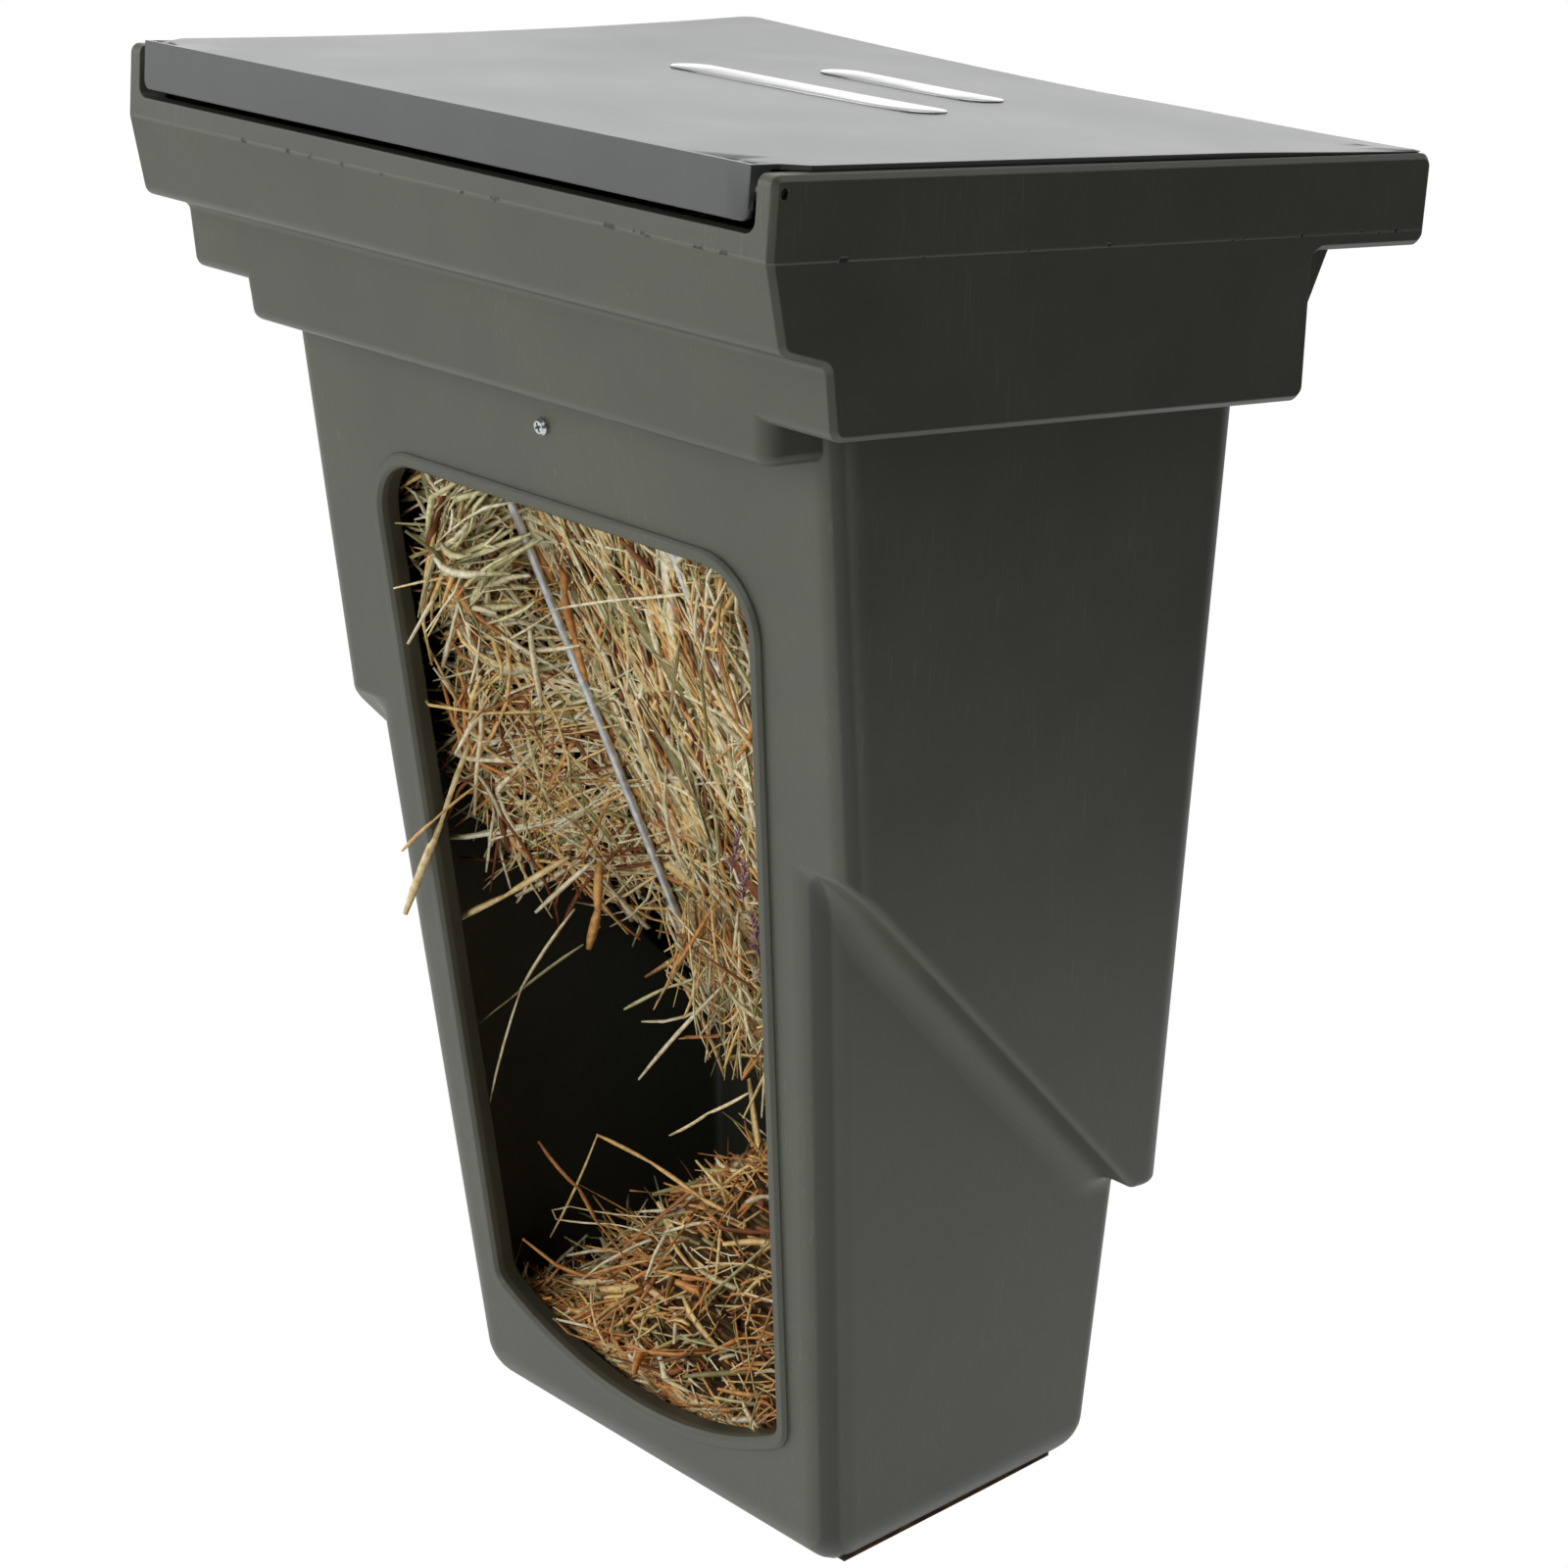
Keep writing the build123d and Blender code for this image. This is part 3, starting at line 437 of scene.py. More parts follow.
TUB_PLASTIC = moulded_polyethylene(
    "rotomoulded_polyethylene_olive", "#4e5045", "#57594c", 0.38, 0.5, tub_marks_and_inner_shade
)
LID_PLASTIC = moulded_polyethylene("moulded_polyethylene_grey", "#4d5150", "#565a59", 0.36, 0.46)
GALVANISED = galvanised_steel()
ZINC = zinc_plate()
STAINLESS = brushed_stainless()

dress("body_shell", TUB_PLASTIC)
dress("lid_panel", LID_PLASTIC)
for bright in ("lid_badge_long", "lid_badge_short"):
    dress(bright, STAINLESS)
for wire in ("hay_rack_rod", "hinge_pin_left", "hinge_pin_right"):
    dress(wire, GALVANISED)
for plated in (
    "rack_clip", "rack_screw", "rack_washer", "rack_nut",
    "foot_clip_left", "foot_clip_right", "foot_screw_left", "foot_screw_right",
):
    dress(plated, ZINC)


# ---------------------------------------------------------------- lid


def lid_lift(x, y, on_top):
    """How far the lid has crept up toward its back left corner, and its right edge has eased down."""
    left = max(0.0, RISE_START_X - x) / RISE_REACH_X
    back = max(0.0, y / RIM_DEPTH)
    rise = LID_RISE * back ** RISE_CURVE_Y * left ** RISE_CURVE_X
    right = min(1.0, max(0.0, (x - FALL_START_X) / FALL_REACH_X))
    behind = min(1.0, max(0.0, (y - FALL_START_Y) / FALL_REACH_Y))
    return rise - (LID_FALL * right * behind if on_top else 0.0)


def crept_copy(node, name, material):
    """A copy of a piece of the lid, cut across every 40 mm and lifted as the moulding has crept."""
    source = bpy.data.objects[node]
    copy = bpy.data.objects.new(name, source.data.copy())
    copy.data.name = name
    bpy.context.scene.collection.objects.link(copy)
    bpy.ops.object.select_all(action="DESELECT")
    copy.select_set(True)
    bpy.context.view_layer.objects.active = copy
    bpy.ops.object.mode_set(mode="EDIT")
    bpy.ops.mesh.select_all(action="SELECT")
    bpy.ops.mesh.remove_doubles(threshold=0.00002)
    low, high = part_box(node)
    for axis, normal in ((0, (1, 0, 0)), (1, (0, 1, 0))):
        start, end = low[axis] + LID_CUT_SPACING, high[axis] - LID_CUT_SPACING / 4
        for place in np.arange(start, end, LID_CUT_SPACING):
            bpy.ops.mesh.select_all(action="SELECT")
            bpy.ops.mesh.bisect(plane_co=[place if i == axis else 0 for i in range(3)], plane_no=normal)
    bpy.ops.object.mode_set(mode="OBJECT")
    for vertex in copy.data.vertices:
        x, y, z = vertex.co / MM
        ahead, above = y + BACK_AT_RIM * cos(LEAN), z - WALL_HOLES_DROP
        y_rim = ahead * cos(LEAN) - above * sin(LEAN)
        z_rim = ahead * sin(LEAN) + above * cos(LEAN)
        vertex.co.z += lid_lift(x, y_rim, z_rim > LID_TOP - 1) * MM
    bpy.ops.object.shade_smooth_by_angle(angle=radians(30))
    copy.data.materials.clear()
    copy.data.materials.append(material)
    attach(copy, "lid")
    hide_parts(node)


crept_copy("lid_panel", "lid_moulding", LID_PLASTIC)
crept_copy("lid_badge_long", "lid_bar_long", STAINLESS)
crept_copy("lid_badge_short", "lid_bar_short", STAINLESS)


# ---------------------------------------------------------------- hay

LOOSE = np.random.default_rng(11)
# Most stems turn their broad side to the front, and all grow thinner toward their ends
BROAD_SIDE = np.array((0.0, 0.9, 0.2))
STEM_TAPER = 0.45
TINY = 1e-9


def hay_stems():
    """Dried meadow grass: thin flat stems from straw yellow to brown and grey green, satin dry."""
    material, shader = new_material("dried_meadow_hay")
    place = add(material, "ShaderNodeTexCoord", "Object")
    tone = add(material, "ShaderNodeAttribute", "Fac", TONE)
    dried = (
        (RED_BROWN, "#8a5331"), (ORANGE, "#e8a660"), (GOLD, "#ffe09a"),
        (STRAW, "#fff8d8"), (OLIVE, "#958f56"), (PALE_GREEN, "#e6e2b0"),
    )
    stems = add(material, "ShaderNodeValToRGB", "Color", stops=dried, Fac=tone)
    # blotches 5 mm long, as the dried sap leaves them
    blotch = add(material, "ShaderNodeTexNoise", "Fac", Vector=place, Scale=1 / 0.005, Detail=3.0)
    sap = ((0.3, "#d2c5ae"), (0.6, "#ffffff"))
    shade = add(material, "ShaderNodeValToRGB", "Color", stops=sap, Fac=blotch)
    colour = add(material, "ShaderNodeMix", "Result", COLOURS_TIMES, Factor=1.0, A=stems, B=shade)
    feed(material, shader, Base_Color=colour, Roughness=0.55, Specular_IOR_Level=0.35)
    return material


def hay_core_in_painted_shade():
    """The dense inside of a hay wad, seen only between loose stems, coloured dark gold to near black as
    painted shade.
    """
    material, shader = new_material("meadow_hay_core_painted_shade")
    place = add(material, "ShaderNodeTexCoord", "Object")
    # stems 2.4 mm wide and up to 17 mm long
    lay = add(
        material, "ShaderNodeMapping", "Vector",
        Vector=place, Rotation=(0.3, 0.4, 0.2), Scale=(60.0, 90.0, 420.0),
    )
    mat = add(material, "ShaderNodeTexNoise", "Fac", Vector=lay, Scale=1.0, Detail=4.0)
    # near black to dark gold: painted shade for the stems deep in the wad
    core_shade_stops = ((0.35, "#1d140c"), (0.55, "#4c3820"), (0.75, "#8a6f40"))
    colour = add(material, "ShaderNodeValToRGB", "Color", stops=core_shade_stops, Fac=mat)
    bump = add(material, "ShaderNodeBump", "Normal", Strength=0.8, Distance=0.003, Height=mat)
    feed(material, shader, Base_Color=colour, Roughness=0.9, Specular_IOR_Level=0.15, Normal=bump)
    return material


def grass_seed():
    """Grass seed heads: dusty pink to straw husks, matt."""
    material, shader = new_material("meadow_grass_seed_husk")
    tone = add(material, "ShaderNodeAttribute", "Fac", TONE)
    husks = ((0.2, "#8d6570"), (0.5, "#b78f93"), (0.9, "#cdbb94"))
    colour = add(material, "ShaderNodeValToRGB", "Color", stops=husks, Fac=tone)
    feed(material, shader, Base_Color=colour, Roughness=0.7)
    return material


def in_shared_frame(points):
    """Millimetres square to the rim, as metres in the shared frame."""
    x, y, z = points[..., 0], points[..., 1], points[..., 2]
    y_shared = y * cos(LEAN) + z * sin(LEAN) - BACK_AT_RIM * cos(LEAN)
    z_shared = -y * sin(LEAN) + z * cos(LEAN) + WALL_HOLES_DROP
    return np.stack((x, y_shared, z_shared), axis=-1) * MM


def front_inside(z):
    """Depth of the front wall's inner face."""
    return FRONT_AT_RIM - z * tan(FRONT_LEAN) + WALL / cos(FRONT_LEAN) + FRONT_GAP


def back_inside(z):
    """Depth of the back wall's inner face."""
    return BACK_AT_RIM - z * tan(LEAN) - WALL - WALL_GAP


def half_inside(y, z):
    """Half the clear width between the side walls, above or below the sloping ledge."""
    ledge = -LEDGE_DROP - LEDGE_FALL_BACKWARD * y
    chamber = CHAMBER_HALF_AT_RIM + z * tan(CHAMBER_DRAFT)
    trough = TROUGH_HALF_AT_RIM + z * tan(TROUGH_DRAFT)
    return np.where(z > ledge + LEDGE_MARGIN, chamber, trough) - WALL - WALL_GAP


def floor_inside(y):
    """Height of the trough's floor."""
    return -TROUGH_FRONT_DROP + TROUGH_FLOOR_SLOPE * (y - TROUGH_FRONT_DEPTH) + WALL + FLOOR_GAP


def keep_inside(points, reach):
    """Push back every point in or beyond a wall, and reach behind the front round its opening."""
    x, y, z = points[..., 0], points[..., 1], points[..., 2]
    z = np.maximum(z, floor_inside(y))
    half_open = np.interp(-z, OPENING_DROPS, OPENING_HALVES)
    in_height = (-z > OPENING_DROPS[0]) & (-z < OPENING_DROPS[1] + SILL_MARGIN)
    clear = (np.abs(x) < half_open) & in_height
    y = np.where(clear, y, np.maximum(y, front_inside(z) + reach))
    y = np.minimum(y, back_inside(z))
    z = np.maximum(z, floor_inside(y))
    half = half_inside(y, z)
    return np.stack((np.clip(x, -half, half), y, z), axis=-1)


def eased(share):
    """A share from 0 to 1, slow at both ends."""
    return share * share * (3 - 2 * share)


def rod_depth(z):
    """Depth of the rack's rods."""
    return RACK_TOP[0] + (RACK_TOP[1] - z) * tan(RACK_LEAN)


def behind_rods(points):
    """How far forward hay may come that the rack's rods hold back."""
    beside = np.maximum(0, np.abs(points[..., 0]) - RACK_HALF - 5)
    return rod_depth(points[..., 2]) + ROD_GAP - 1.2 * beside


def rack_front(x, z):
    """Depth of the hay's face behind the rack: on the rods between its legs, bulging beside them."""
    on_rods = rod_depth(z) + FACE_BEHIND_RODS
    beside = front_inside(z) + FACE_BEHIND_FRONT + np.maximum(0, FACE_FALLS_BELOW - z) * 0.5
    left = eased(np.clip((-x - RACK_HALF + 6) / BULGE_WIDTH, 0, 1))
    right = np.maximum(beside, on_rods - 0.84 * np.maximum(0, x - RACK_HALF - 6))
    loose = np.clip((np.abs(x) - 60) / 60, 0.3, 1)
    lumps = LUMP * np.sin(x / 23 + z / 41) * loose + RIPPLE * np.sin(z / 17 - x / 31)
    set_back = np.maximum(0, FACE_FALLS_LEFT_OF - x) * 1.5
    face = np.where(x < 0, on_rods * (1 - left) + beside * left, right)
    return np.maximum(face + lumps + set_back, front_inside(z) + 6)


def rack_bottom(x):
    """Height of the lower edge of the hay in the rack."""
    return np.interp(x, *zip(*RACK_EDGE))


def heap_top(x, y):
    """Height of what has dropped into the trough: low at the sill, heaped to the right and back."""
    sill = SILL_HEIGHT + 14 * np.clip((-60 - x) / 90, 0, 1)
    crest = np.interp(x, *zip(*HEAP_CREST))
    rise = eased(np.clip((y - HEAP_START) / HEAP_RUN, 0, 1))
    return sill + (crest - sill) * rise + 4 * np.sin(x / 13 + y / 19)


def straw_pattern():
    """One straw, one unit long and two wide: a four-sided stem cut across where it may bend."""
    bpy.ops.object.select_all(action="DESELECT")
    bpy.ops.mesh.primitive_cylinder_add(vertices=4, radius=1.0, depth=1.0, end_fill_type="NGON")
    straw = bpy.context.object
    bpy.ops.object.mode_set(mode="EDIT")
    for height in (-0.25, 0.0, 0.25):
        bpy.ops.mesh.select_all(action="SELECT")
        bpy.ops.mesh.bisect(plane_co=(0, 0, height), plane_no=(0, 0, 1))
    bpy.ops.object.mode_set(mode="OBJECT")
    corners = np.array([tuple(v.co) for v in straw.data.vertices])
    corners[:, 2] += 0.5
    faces = [tuple(p.vertices) for p in straw.data.polygons]
    bpy.data.objects.remove(straw, do_unlink=True)
    return corners, faces


def copy_straws(name, starts, ends, bows, widths, thicks, tones, material=None, inside=True, held=None):
    """Copy the straw along every start and end, bowed aside at its middle, as one mesh."""
    corners, faces = STRAW_PATTERN
    along = corners[:, 2][None, :, None]
    run = (ends - starts)[:, None, :]
    bow = bows[:, None, :]
    spine = starts[:, None, :] + run * along + bow * 4 * along * (1 - along)
    if held is not None:
        spine[..., 1] = np.where(held[:, None], np.maximum(spine[..., 1], behind_rods(spine)), spine[..., 1])
    if inside:
        spine = keep_inside(spine, LIP_REACH)
    tangent = run + bow * 4 * (1 - 2 * along)
    tangent /= np.linalg.norm(tangent, axis=-1, keepdims=True) + TINY
    edge = LOOSE.normal(size=starts.shape)[:, None, :] + BROAD_SIDE
    across = np.cross(tangent, edge)
    across /= np.linalg.norm(across, axis=-1, keepdims=True) + TINY
    over = np.cross(tangent, across)
    taper = 1 - STEM_TAPER * np.abs(2 * along - 1) ** 3
    shape = across * corners[:, 0][None, :, None] * widths[:, None, None]
    shape = shape + over * corners[:, 1][None, :, None] * thicks[:, None, None]
    points = spine + shape * taper
    if inside:
        points = keep_inside(points, STEM_REACH)
    points = in_shared_frame(points).reshape(-1, 3)
    count = len(corners)
    all_faces = [tuple(i + k * count for i in face) for k in range(len(starts)) for face in faces]
    mesh = bpy.data.meshes.new(name)
    mesh.from_pydata(points.tolist(), [], all_faces)
    tone = mesh.attributes.new("tone", "FLOAT", "POINT")
    tone.data.foreach_set("value", np.repeat(tones, count).astype(np.float32))
    mesh.materials.append(material or HAY)
    mesh.shade_smooth()
    piece = bpy.data.objects.new(name, mesh)
    bpy.context.scene.collection.objects.link(piece)
    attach(piece, "tub")


def pick_tones(count, shares):
    """Tones of stems, by their shares, each a little off."""
    shares = np.array(shares) / sum(shares)
    return np.clip(LOOSE.choice(TONES, size=count, p=shares) + LOOSE.normal(0, TONE_SPREAD, count), 0, 1)


def bowed(count, spread, lengths):
    """How far each stem bows aside at its middle, as a share of its length."""
    return LOOSE.normal(0, spread, (count, 3)) * lengths


# Each function below draws its stems' places, their turns in radians, as seen from the front or, on
# the flat heaps, from above, their runs from end to end, their bows and their half widths.


def rack_hay(name, count, mean_depth, lengths, half_widths, out=0.2):
    """Loose hay on the face of the wad, steep between the rods and tangled beside them."""
    x = LOOSE.uniform(*FACE_SIDES, count)
    z = FACE_TOP + (rack_bottom(x) - FACE_TOP) * LOOSE.uniform(0, 1, count)
    y = rack_front(x, z) + LOOSE.exponential(mean_depth, count) - 3
    # most stems between the legs and above their foot are steep
    between = (np.abs(x) < 95) & (z > -500)
    steep = LOOSE.uniform(0, 1, count) < np.where(between, 0.68, 0.28)
    upright = LOOSE.normal(-1.52, 0.3, count)
    rising = LOOSE.normal(0.35, 0.65, count)
    any_way = LOOSE.uniform(-pi / 2, pi / 2, count)
    turn = np.where(steep, upright, np.where(x < -85, rising, any_way))
    lean = tan(RACK_LEAN) * np.where(np.abs(x) < 110, 1.0, 0.45)
    forward = -np.sin(turn) * lean + LOOSE.normal(0, out, count)
    run = np.stack((np.cos(turn), forward, np.sin(turn)), axis=-1)
    run *= LOOSE.uniform(*lengths, count)[:, None] / np.linalg.norm(run, axis=-1, keepdims=True)
    middle = np.stack((x, y, z), axis=-1)
    bows = bowed(count, 0.055, np.linalg.norm(run, axis=-1, keepdims=True))
    widths = LOOSE.uniform(*half_widths, count)
    leaf = LOOSE.uniform(0, 1, count) < 0.08
    widths = np.where(leaf, widths * 2.3, widths)
    thicks = np.where(leaf, 0.25, widths * 0.55)
    held = LOOSE.uniform(0, 1, count) < 0.985
    tones = pick_tones(count, RACK_SHARES)
    copy_straws(name, middle - run / 2, middle + run / 2, bows, widths, thicks, tones, held=held)


def fanned_leaves(name, count, lengths, half_widths):
    """The pale leaves that fan out at the hay's upper left corner."""
    x = LOOSE.uniform(*FAN_SIDES, count)
    z = LOOSE.uniform(*FAN_HEIGHTS, count)
    y = rack_front(x, z) - LOOSE.uniform(0, 9, count)
    root = np.stack((x, y, z), axis=-1)
    turn = LOOSE.normal(0.55, 0.22, count)
    forward = -0.3 * np.sin(turn) + LOOSE.normal(0, 0.1, count)
    run = np.stack((np.cos(turn), forward, np.sin(turn)), axis=-1)
    run *= LOOSE.uniform(*lengths, count)[:, None]
    bows = bowed(count, 0.05, sum(lengths) / 2)
    widths = LOOSE.uniform(*half_widths, count)
    tones = np.where(LOOSE.uniform(0, 1, count) < 0.55, PALE_GREEN, STRAW) + LOOSE.normal(0, 0.03, count)
    copy_straws(name, root, root + run, bows, widths, np.full(count, 0.4), np.clip(tones, 0, 1))


def hanging_tuft(name, count, lengths, half_widths):
    """Stems pulled down through the open foot of the rack, hanging in a loose tuft."""
    x = LOOSE.uniform(*TUFT_SIDES, count)
    z = TUFT_TOP - TUFT_DROP * LOOSE.uniform(0, 1, count) ** 1.5
    y = TUFT_DEPTH + 0.3 * (TUFT_TOP - z) + LOOSE.exponential(12, count)
    hangs = LOOSE.uniform(0, 1, count) < 0.5
    upright = LOOSE.normal(-1.35, 0.45, count)
    any_way = LOOSE.uniform(-pi / 2, pi / 2, count)
    turn = np.where(hangs, upright, any_way)
    run = np.stack((np.cos(turn), LOOSE.normal(0, 0.35, count), np.sin(turn)), axis=-1)
    run *= LOOSE.uniform(*lengths, count)[:, None]
    middle = np.stack((x, y, z), axis=-1)
    bows = bowed(count, 0.07, sum(lengths) / 2)
    widths = LOOSE.uniform(*half_widths, count)
    tones = pick_tones(count, RACK_SHARES)
    copy_straws(name, middle - run / 2, middle + run / 2, bows, widths, widths * 0.5, tones)


def top_hay(name, count, lengths, half_widths):
    """Hay lying flat on top of the wad, under the lid."""
    x = LOOSE.uniform(-TOP_HALF, TOP_HALF, count)
    z = TOP_OF_HAY - LOOSE.exponential(9, count) + 8 * np.sin(x / 47)
    y = LOOSE.uniform(0, 1, count) * (back_inside(z) - front_inside(z) - 22) + front_inside(z) + 16
    turn = LOOSE.uniform(0, pi, count)
    run = np.stack((np.cos(turn), np.sin(turn), LOOSE.normal(0, 0.14, count)), axis=-1)
    run *= LOOSE.uniform(*lengths, count)[:, None]
    middle = np.stack((x, y, z), axis=-1)
    bows = bowed(count, 0.05, TOP_STEM)
    widths = LOOSE.uniform(*half_widths, count)
    tones = pick_tones(count, RACK_SHARES)
    copy_straws(name, middle - run / 2, middle + run / 2, bows, widths, widths * 0.5, tones)


def trough_hay(name, count, shortest, mean_more, half_widths):
    """Short chaff and stems in the trough."""
    front, back = HEAP_DEPTHS
    x = LOOSE.uniform(-HEAP_HALF, HEAP_HALF, count)
    y = front + (back - front) * LOOSE.uniform(0, 1, count) ** 1.7
    z = heap_top(x, y) - LOOSE.exponential(7, count) + 1
    flat = LOOSE.uniform(0, 1, count) < 0.5
    level = LOOSE.normal(0.25, 0.5, count)
    any_way = LOOSE.uniform(0, pi, count)
    turn = np.where(flat, level, any_way)
    rise = 0.55 * np.sin(turn) + LOOSE.normal(0, 0.25, count)
    run = np.stack((np.cos(turn), 0.75 * np.sin(turn), rise), axis=-1)
    run *= (shortest + LOOSE.exponential(mean_more, count))[:, None]
    middle = np.stack((x, y, z), axis=-1)
    bows = bowed(count, 0.06, np.linalg.norm(run, axis=-1, keepdims=True))
    widths = LOOSE.uniform(*half_widths, count)
    leaf = LOOSE.uniform(0, 1, count) < 0.2
    widths = np.where(leaf, widths * 1.9, widths)
    thicks = np.where(leaf, 0.3, widths * 0.5)
    tones = pick_tones(count, TROUGH_SHARES)
    copy_straws(name, middle - run / 2, middle + run / 2, bows, widths, thicks, tones)


def long_straws():
    """The long stems that stand out from the hay, bent sharply where they are creased."""
    starts, ends, bows, widths, thicks, tones = [], [], [], [], [], []
    for half_width, half_thick, tone, *points in LONG_STRAWS:
        for near, far in zip(points, points[1:]):
            run = np.subtract(far, near)
            length = np.linalg.norm(run)
            starts.append(near - run / length * half_width * 0.5)
            ends.append(far + run / length * half_width * 0.5)
            bows.append(LOOSE.normal(0, 0.012, 3) * length)
            widths.append(half_width)
            thicks.append(half_thick)
            tones.append(tone)
    lists = (np.array(part, dtype=float) for part in (starts, ends, bows, widths, thicks, tones))
    copy_straws("hay_long_stems", *lists, inside=False)


def seed_heads():
    """Meadow grass seed heads: spikelets set round a short stalk, shorter toward its tip."""
    starts, ends, tones = [], [], []
    for foot, tip, tone in SEED_HEADS:
        foot, tip = np.array(foot, float), np.array(tip, float)
        for share in np.linspace(0, 1, SPIKELETS):
            at = foot + (tip - foot) * share
            out = LOOSE.normal(0, 1, 3)
            out = out / np.linalg.norm(out) * SPIKELET_LENGTH * (1 - 0.55 * share) + (tip - foot) * 0.1
            starts.append(at)
            ends.append(at + out)
            tones.append(tone + LOOSE.normal(0, 0.04))
    starts, ends, tones = np.array(starts), np.array(ends), np.array(tones)
    count = len(starts)
    bows, widths, thicks = np.zeros((count, 3)), np.full(count, 0.8), np.full(count, 0.6)
    copy_straws("hay_seed_heads", starts, ends, bows, widths, thicks, tones, SEEDS)


def hay_body(name, shape):
    """A closed lumpy body, a cube cut finely and then fitted between the tub's walls."""
    bpy.ops.object.select_all(action="DESELECT")
    bpy.ops.mesh.primitive_cube_add(size=2.0)
    wad = bpy.context.object
    wad.name = wad.data.name = name
    bpy.ops.object.mode_set(mode="EDIT")
    bpy.ops.mesh.select_all(action="SELECT")
    bpy.ops.mesh.subdivide(number_cuts=22)
    bpy.ops.object.mode_set(mode="OBJECT")
    unit = np.array([tuple(v.co) for v in wad.data.vertices])
    points = in_shared_frame(keep_inside(shape(*unit.T), LIP_REACH))
    for vertex, point in zip(wad.data.vertices, points):
        vertex.co = point
    # the wad takes the hay coloured in painted shade
    wad.data.materials.append(HAY_CORE_PAINTED_SHADE)
    wad.data.shade_smooth()
    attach(wad, "tub")


def rack_body(across, back, up):
    """The wad behind the rack, a little behind its loose face."""
    half = 236.0
    x = across * half
    top = TOP_OF_HAY - 14
    z = top + (rack_bottom(x) + 46 - top) * (1 - up) / 2
    ahead = rack_front(x, z) + 24 + np.maximum(0, -600 - z) * 0.4
    y = ahead + (back_inside(z) - 8 - ahead) * (1 + back) / 2
    return np.stack((x * np.minimum(1, half_inside(y, z) / half), y, z), axis=-1)


def trough_body(across, back, up):
    """The heap under the chaff."""
    front, deep = TROUGH_FRONT_DEPTH - 1, 204
    x = across * (HEAP_HALF - 2)
    y = front + deep * (1 + back) / 2
    low = floor_inside(y)
    z = low + (np.maximum(heap_top(x, y) - 9, low + 6) - low) * (1 + up) / 2
    return np.stack((x, y, z), axis=-1)


HAY = hay_stems()
HAY_CORE_PAINTED_SHADE = hay_core_in_painted_shade()
SEEDS = grass_seed()
STRAW_PATTERN = straw_pattern()
hay_body("rack_hay_body", rack_body)
hay_body("trough_hay_body", trough_body)
rack_hay("rack_hay_deep", 3000, mean_depth=14.0, lengths=(45, 120), half_widths=(1.0, 1.9))
rack_hay("rack_hay_face", 2100, mean_depth=4.0, lengths=(45, 150), half_widths=(1.1, 2.4), out=0.3)
rack_hay("rack_hay_fine", 1500, mean_depth=6.0, lengths=(18, 60), half_widths=(0.45, 0.9))
fanned_leaves("rack_hay_fan", 110, lengths=(45, 115), half_widths=(1.2, 2.9))
hanging_tuft("rack_hay_tuft", 280, lengths=(22, 78), half_widths=(0.7, 1.7))
top_hay("rack_hay_top", 2600, lengths=(45, 120), half_widths=(0.9, 1.9))
trough_hay("trough_hay_chaff", 3800, shortest=12, mean_more=27, half_widths=(0.8, 1.9))
long_straws()
seed_heads()


# ---------------------------------------------------------------- studio


def camera():
    """A long lens, above and to the right of the front."""
    data = bpy.data.cameras.new("camera")
    data.lens = CAMERA_LENS
    data.sensor_width = CAMERA_SENSOR
    eye = bpy.data.objects.new("camera", data)
    bpy.context.scene.collection.objects.link(eye)
    turned = Euler([radians(turn) for turn in CAMERA_TURNS]).to_matrix().to_4x4()
    eye.matrix_world = Matrix.Translation(CAMERA_PLACE) @ turned
    bpy.context.scene.camera = eye


def soft_light(name, place, aim, size, watts):
    """A soft box that the camera doesn't see."""
    data = bpy.data.lights.new(name, "AREA")
    data.shape = "RECTANGLE"
    data.size, data.size_y = size
    data.energy = watts
    lamp = bpy.data.objects.new(name, data)
    lamp.visible_camera = False
    bpy.context.scene.collection.objects.link(lamp)
    look = Vector(aim) - Vector(place)
    lamp.matrix_world = Matrix.Translation(place) @ look.to_track_quat("-Z", "Y").to_matrix().to_4x4()


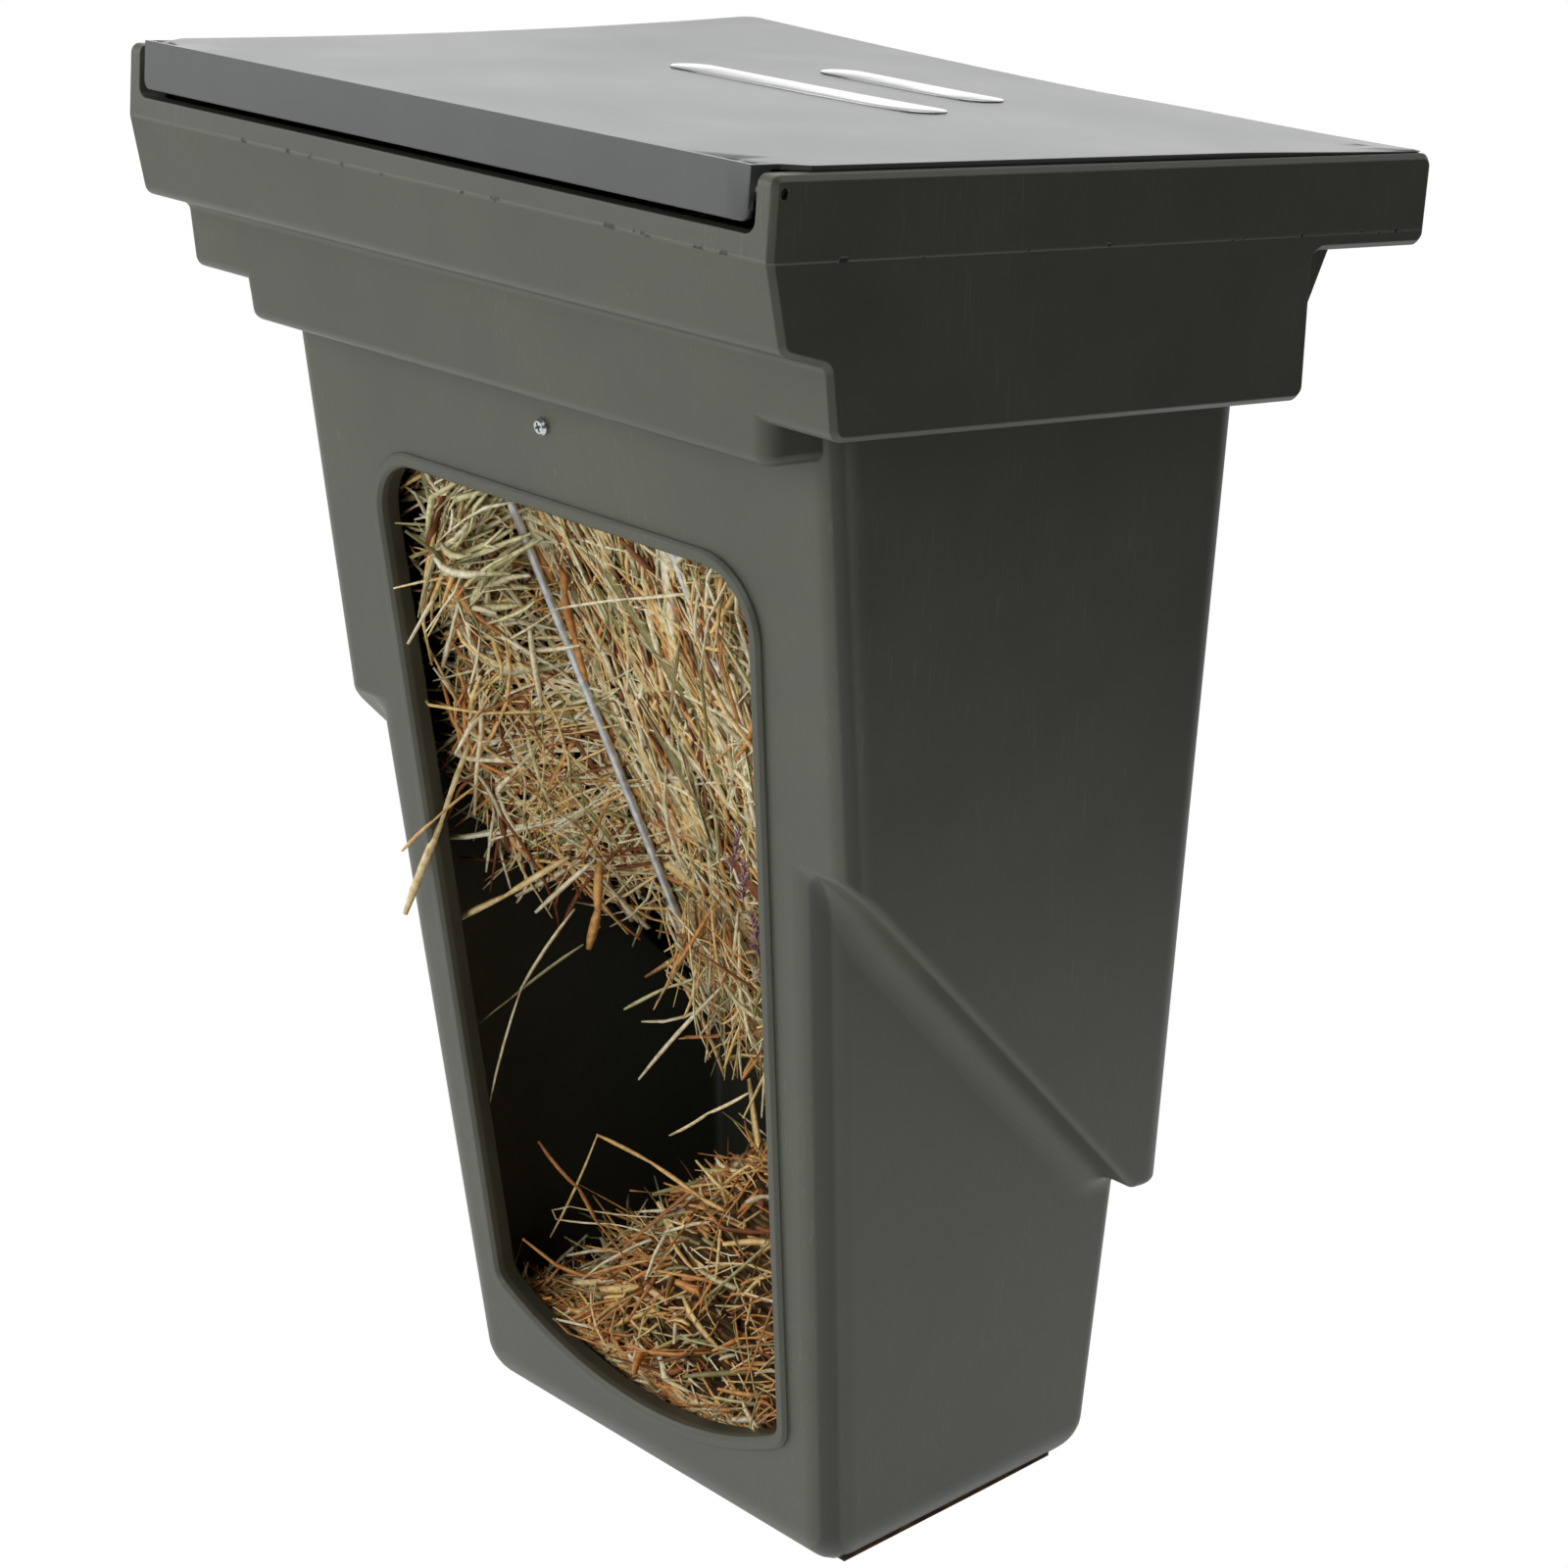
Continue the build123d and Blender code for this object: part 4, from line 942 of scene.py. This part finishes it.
def room():
    """A bright sweep behind and to the left, a darker room to the right, and white for the camera."""
    world = bpy.data.worlds.new("studio")
    bpy.context.scene.world = world
    world.use_nodes = True
    nodes = world.node_tree.nodes
    toward = add(world, "ShaderNodeTexCoord", "Generated")
    sweep = Vector(SWEEP_DIRECTION).normalized()
    facing = add(world, "ShaderNodeVectorMath", "Value", DOT, i0=toward, i1=sweep)
    low, high, dim, bright = SWEEP_LEVELS
    level = add(
        world, "ShaderNodeMapRange", "Result", EASED,
        Value=facing, From_Min=low, From_Max=high, To_Min=dim, To_Max=bright,
    )
    feed(world, nodes["Background"], Color=WHITE, Strength=level)
    backdrop = add(world, "ShaderNodeBackground", "Background", Color=WHITE, Strength=1.0)
    direct = add(world, "ShaderNodeLightPath", "Is Camera Ray")
    through = add(world, "ShaderNodeLightPath", "Is Transmission Ray")
    seen = add(world, "ShaderNodeMath", "Value", LARGER, i0=direct, i1=through)
    fill = nodes["Background"].outputs["Background"]
    mix = add(world, "ShaderNodeMixShader", "Shader", i0=seen, i1=fill, i2=backdrop)
    feed(world, nodes["World Output"], Surface=mix)


def floor():
    """A pale matt floor, white to the camera and in what reflects it."""
    bpy.ops.object.select_all(action="DESELECT")
    bpy.ops.mesh.primitive_circle_add(
        vertices=96, radius=FLOOR_RADIUS, fill_type="NGON", location=FLOOR_CENTRE
    )
    ground = bpy.context.object
    ground.name = "floor"
    bpy.ops.object.transform_apply(location=True, rotation=False, scale=False)
    material, shader = new_material("pale_floor")
    feed(material, shader, Base_Color=PALE_GREY, Roughness=0.9)
    glow = add(material, "ShaderNodeEmission", "Emission", Color=WHITE, Strength=1.0)
    direct = add(material, "ShaderNodeLightPath", "Is Camera Ray")
    mirrored = add(material, "ShaderNodeLightPath", "Is Glossy Ray")
    seen = add(material, "ShaderNodeMath", "Value", LARGER, i0=direct, i1=mirrored)
    matt = shader.outputs["BSDF"]
    mix = add(material, "ShaderNodeMixShader", "Shader", i0=seen, i1=matt, i2=glow)
    feed(material, material.node_tree.nodes["Material Output"], Surface=mix)
    ground.data.materials.append(material)


camera()
room()
for lamp in LAMPS:
    soft_light(*lamp)
floor()
bpy.context.scene.view_settings.view_transform = "Standard"
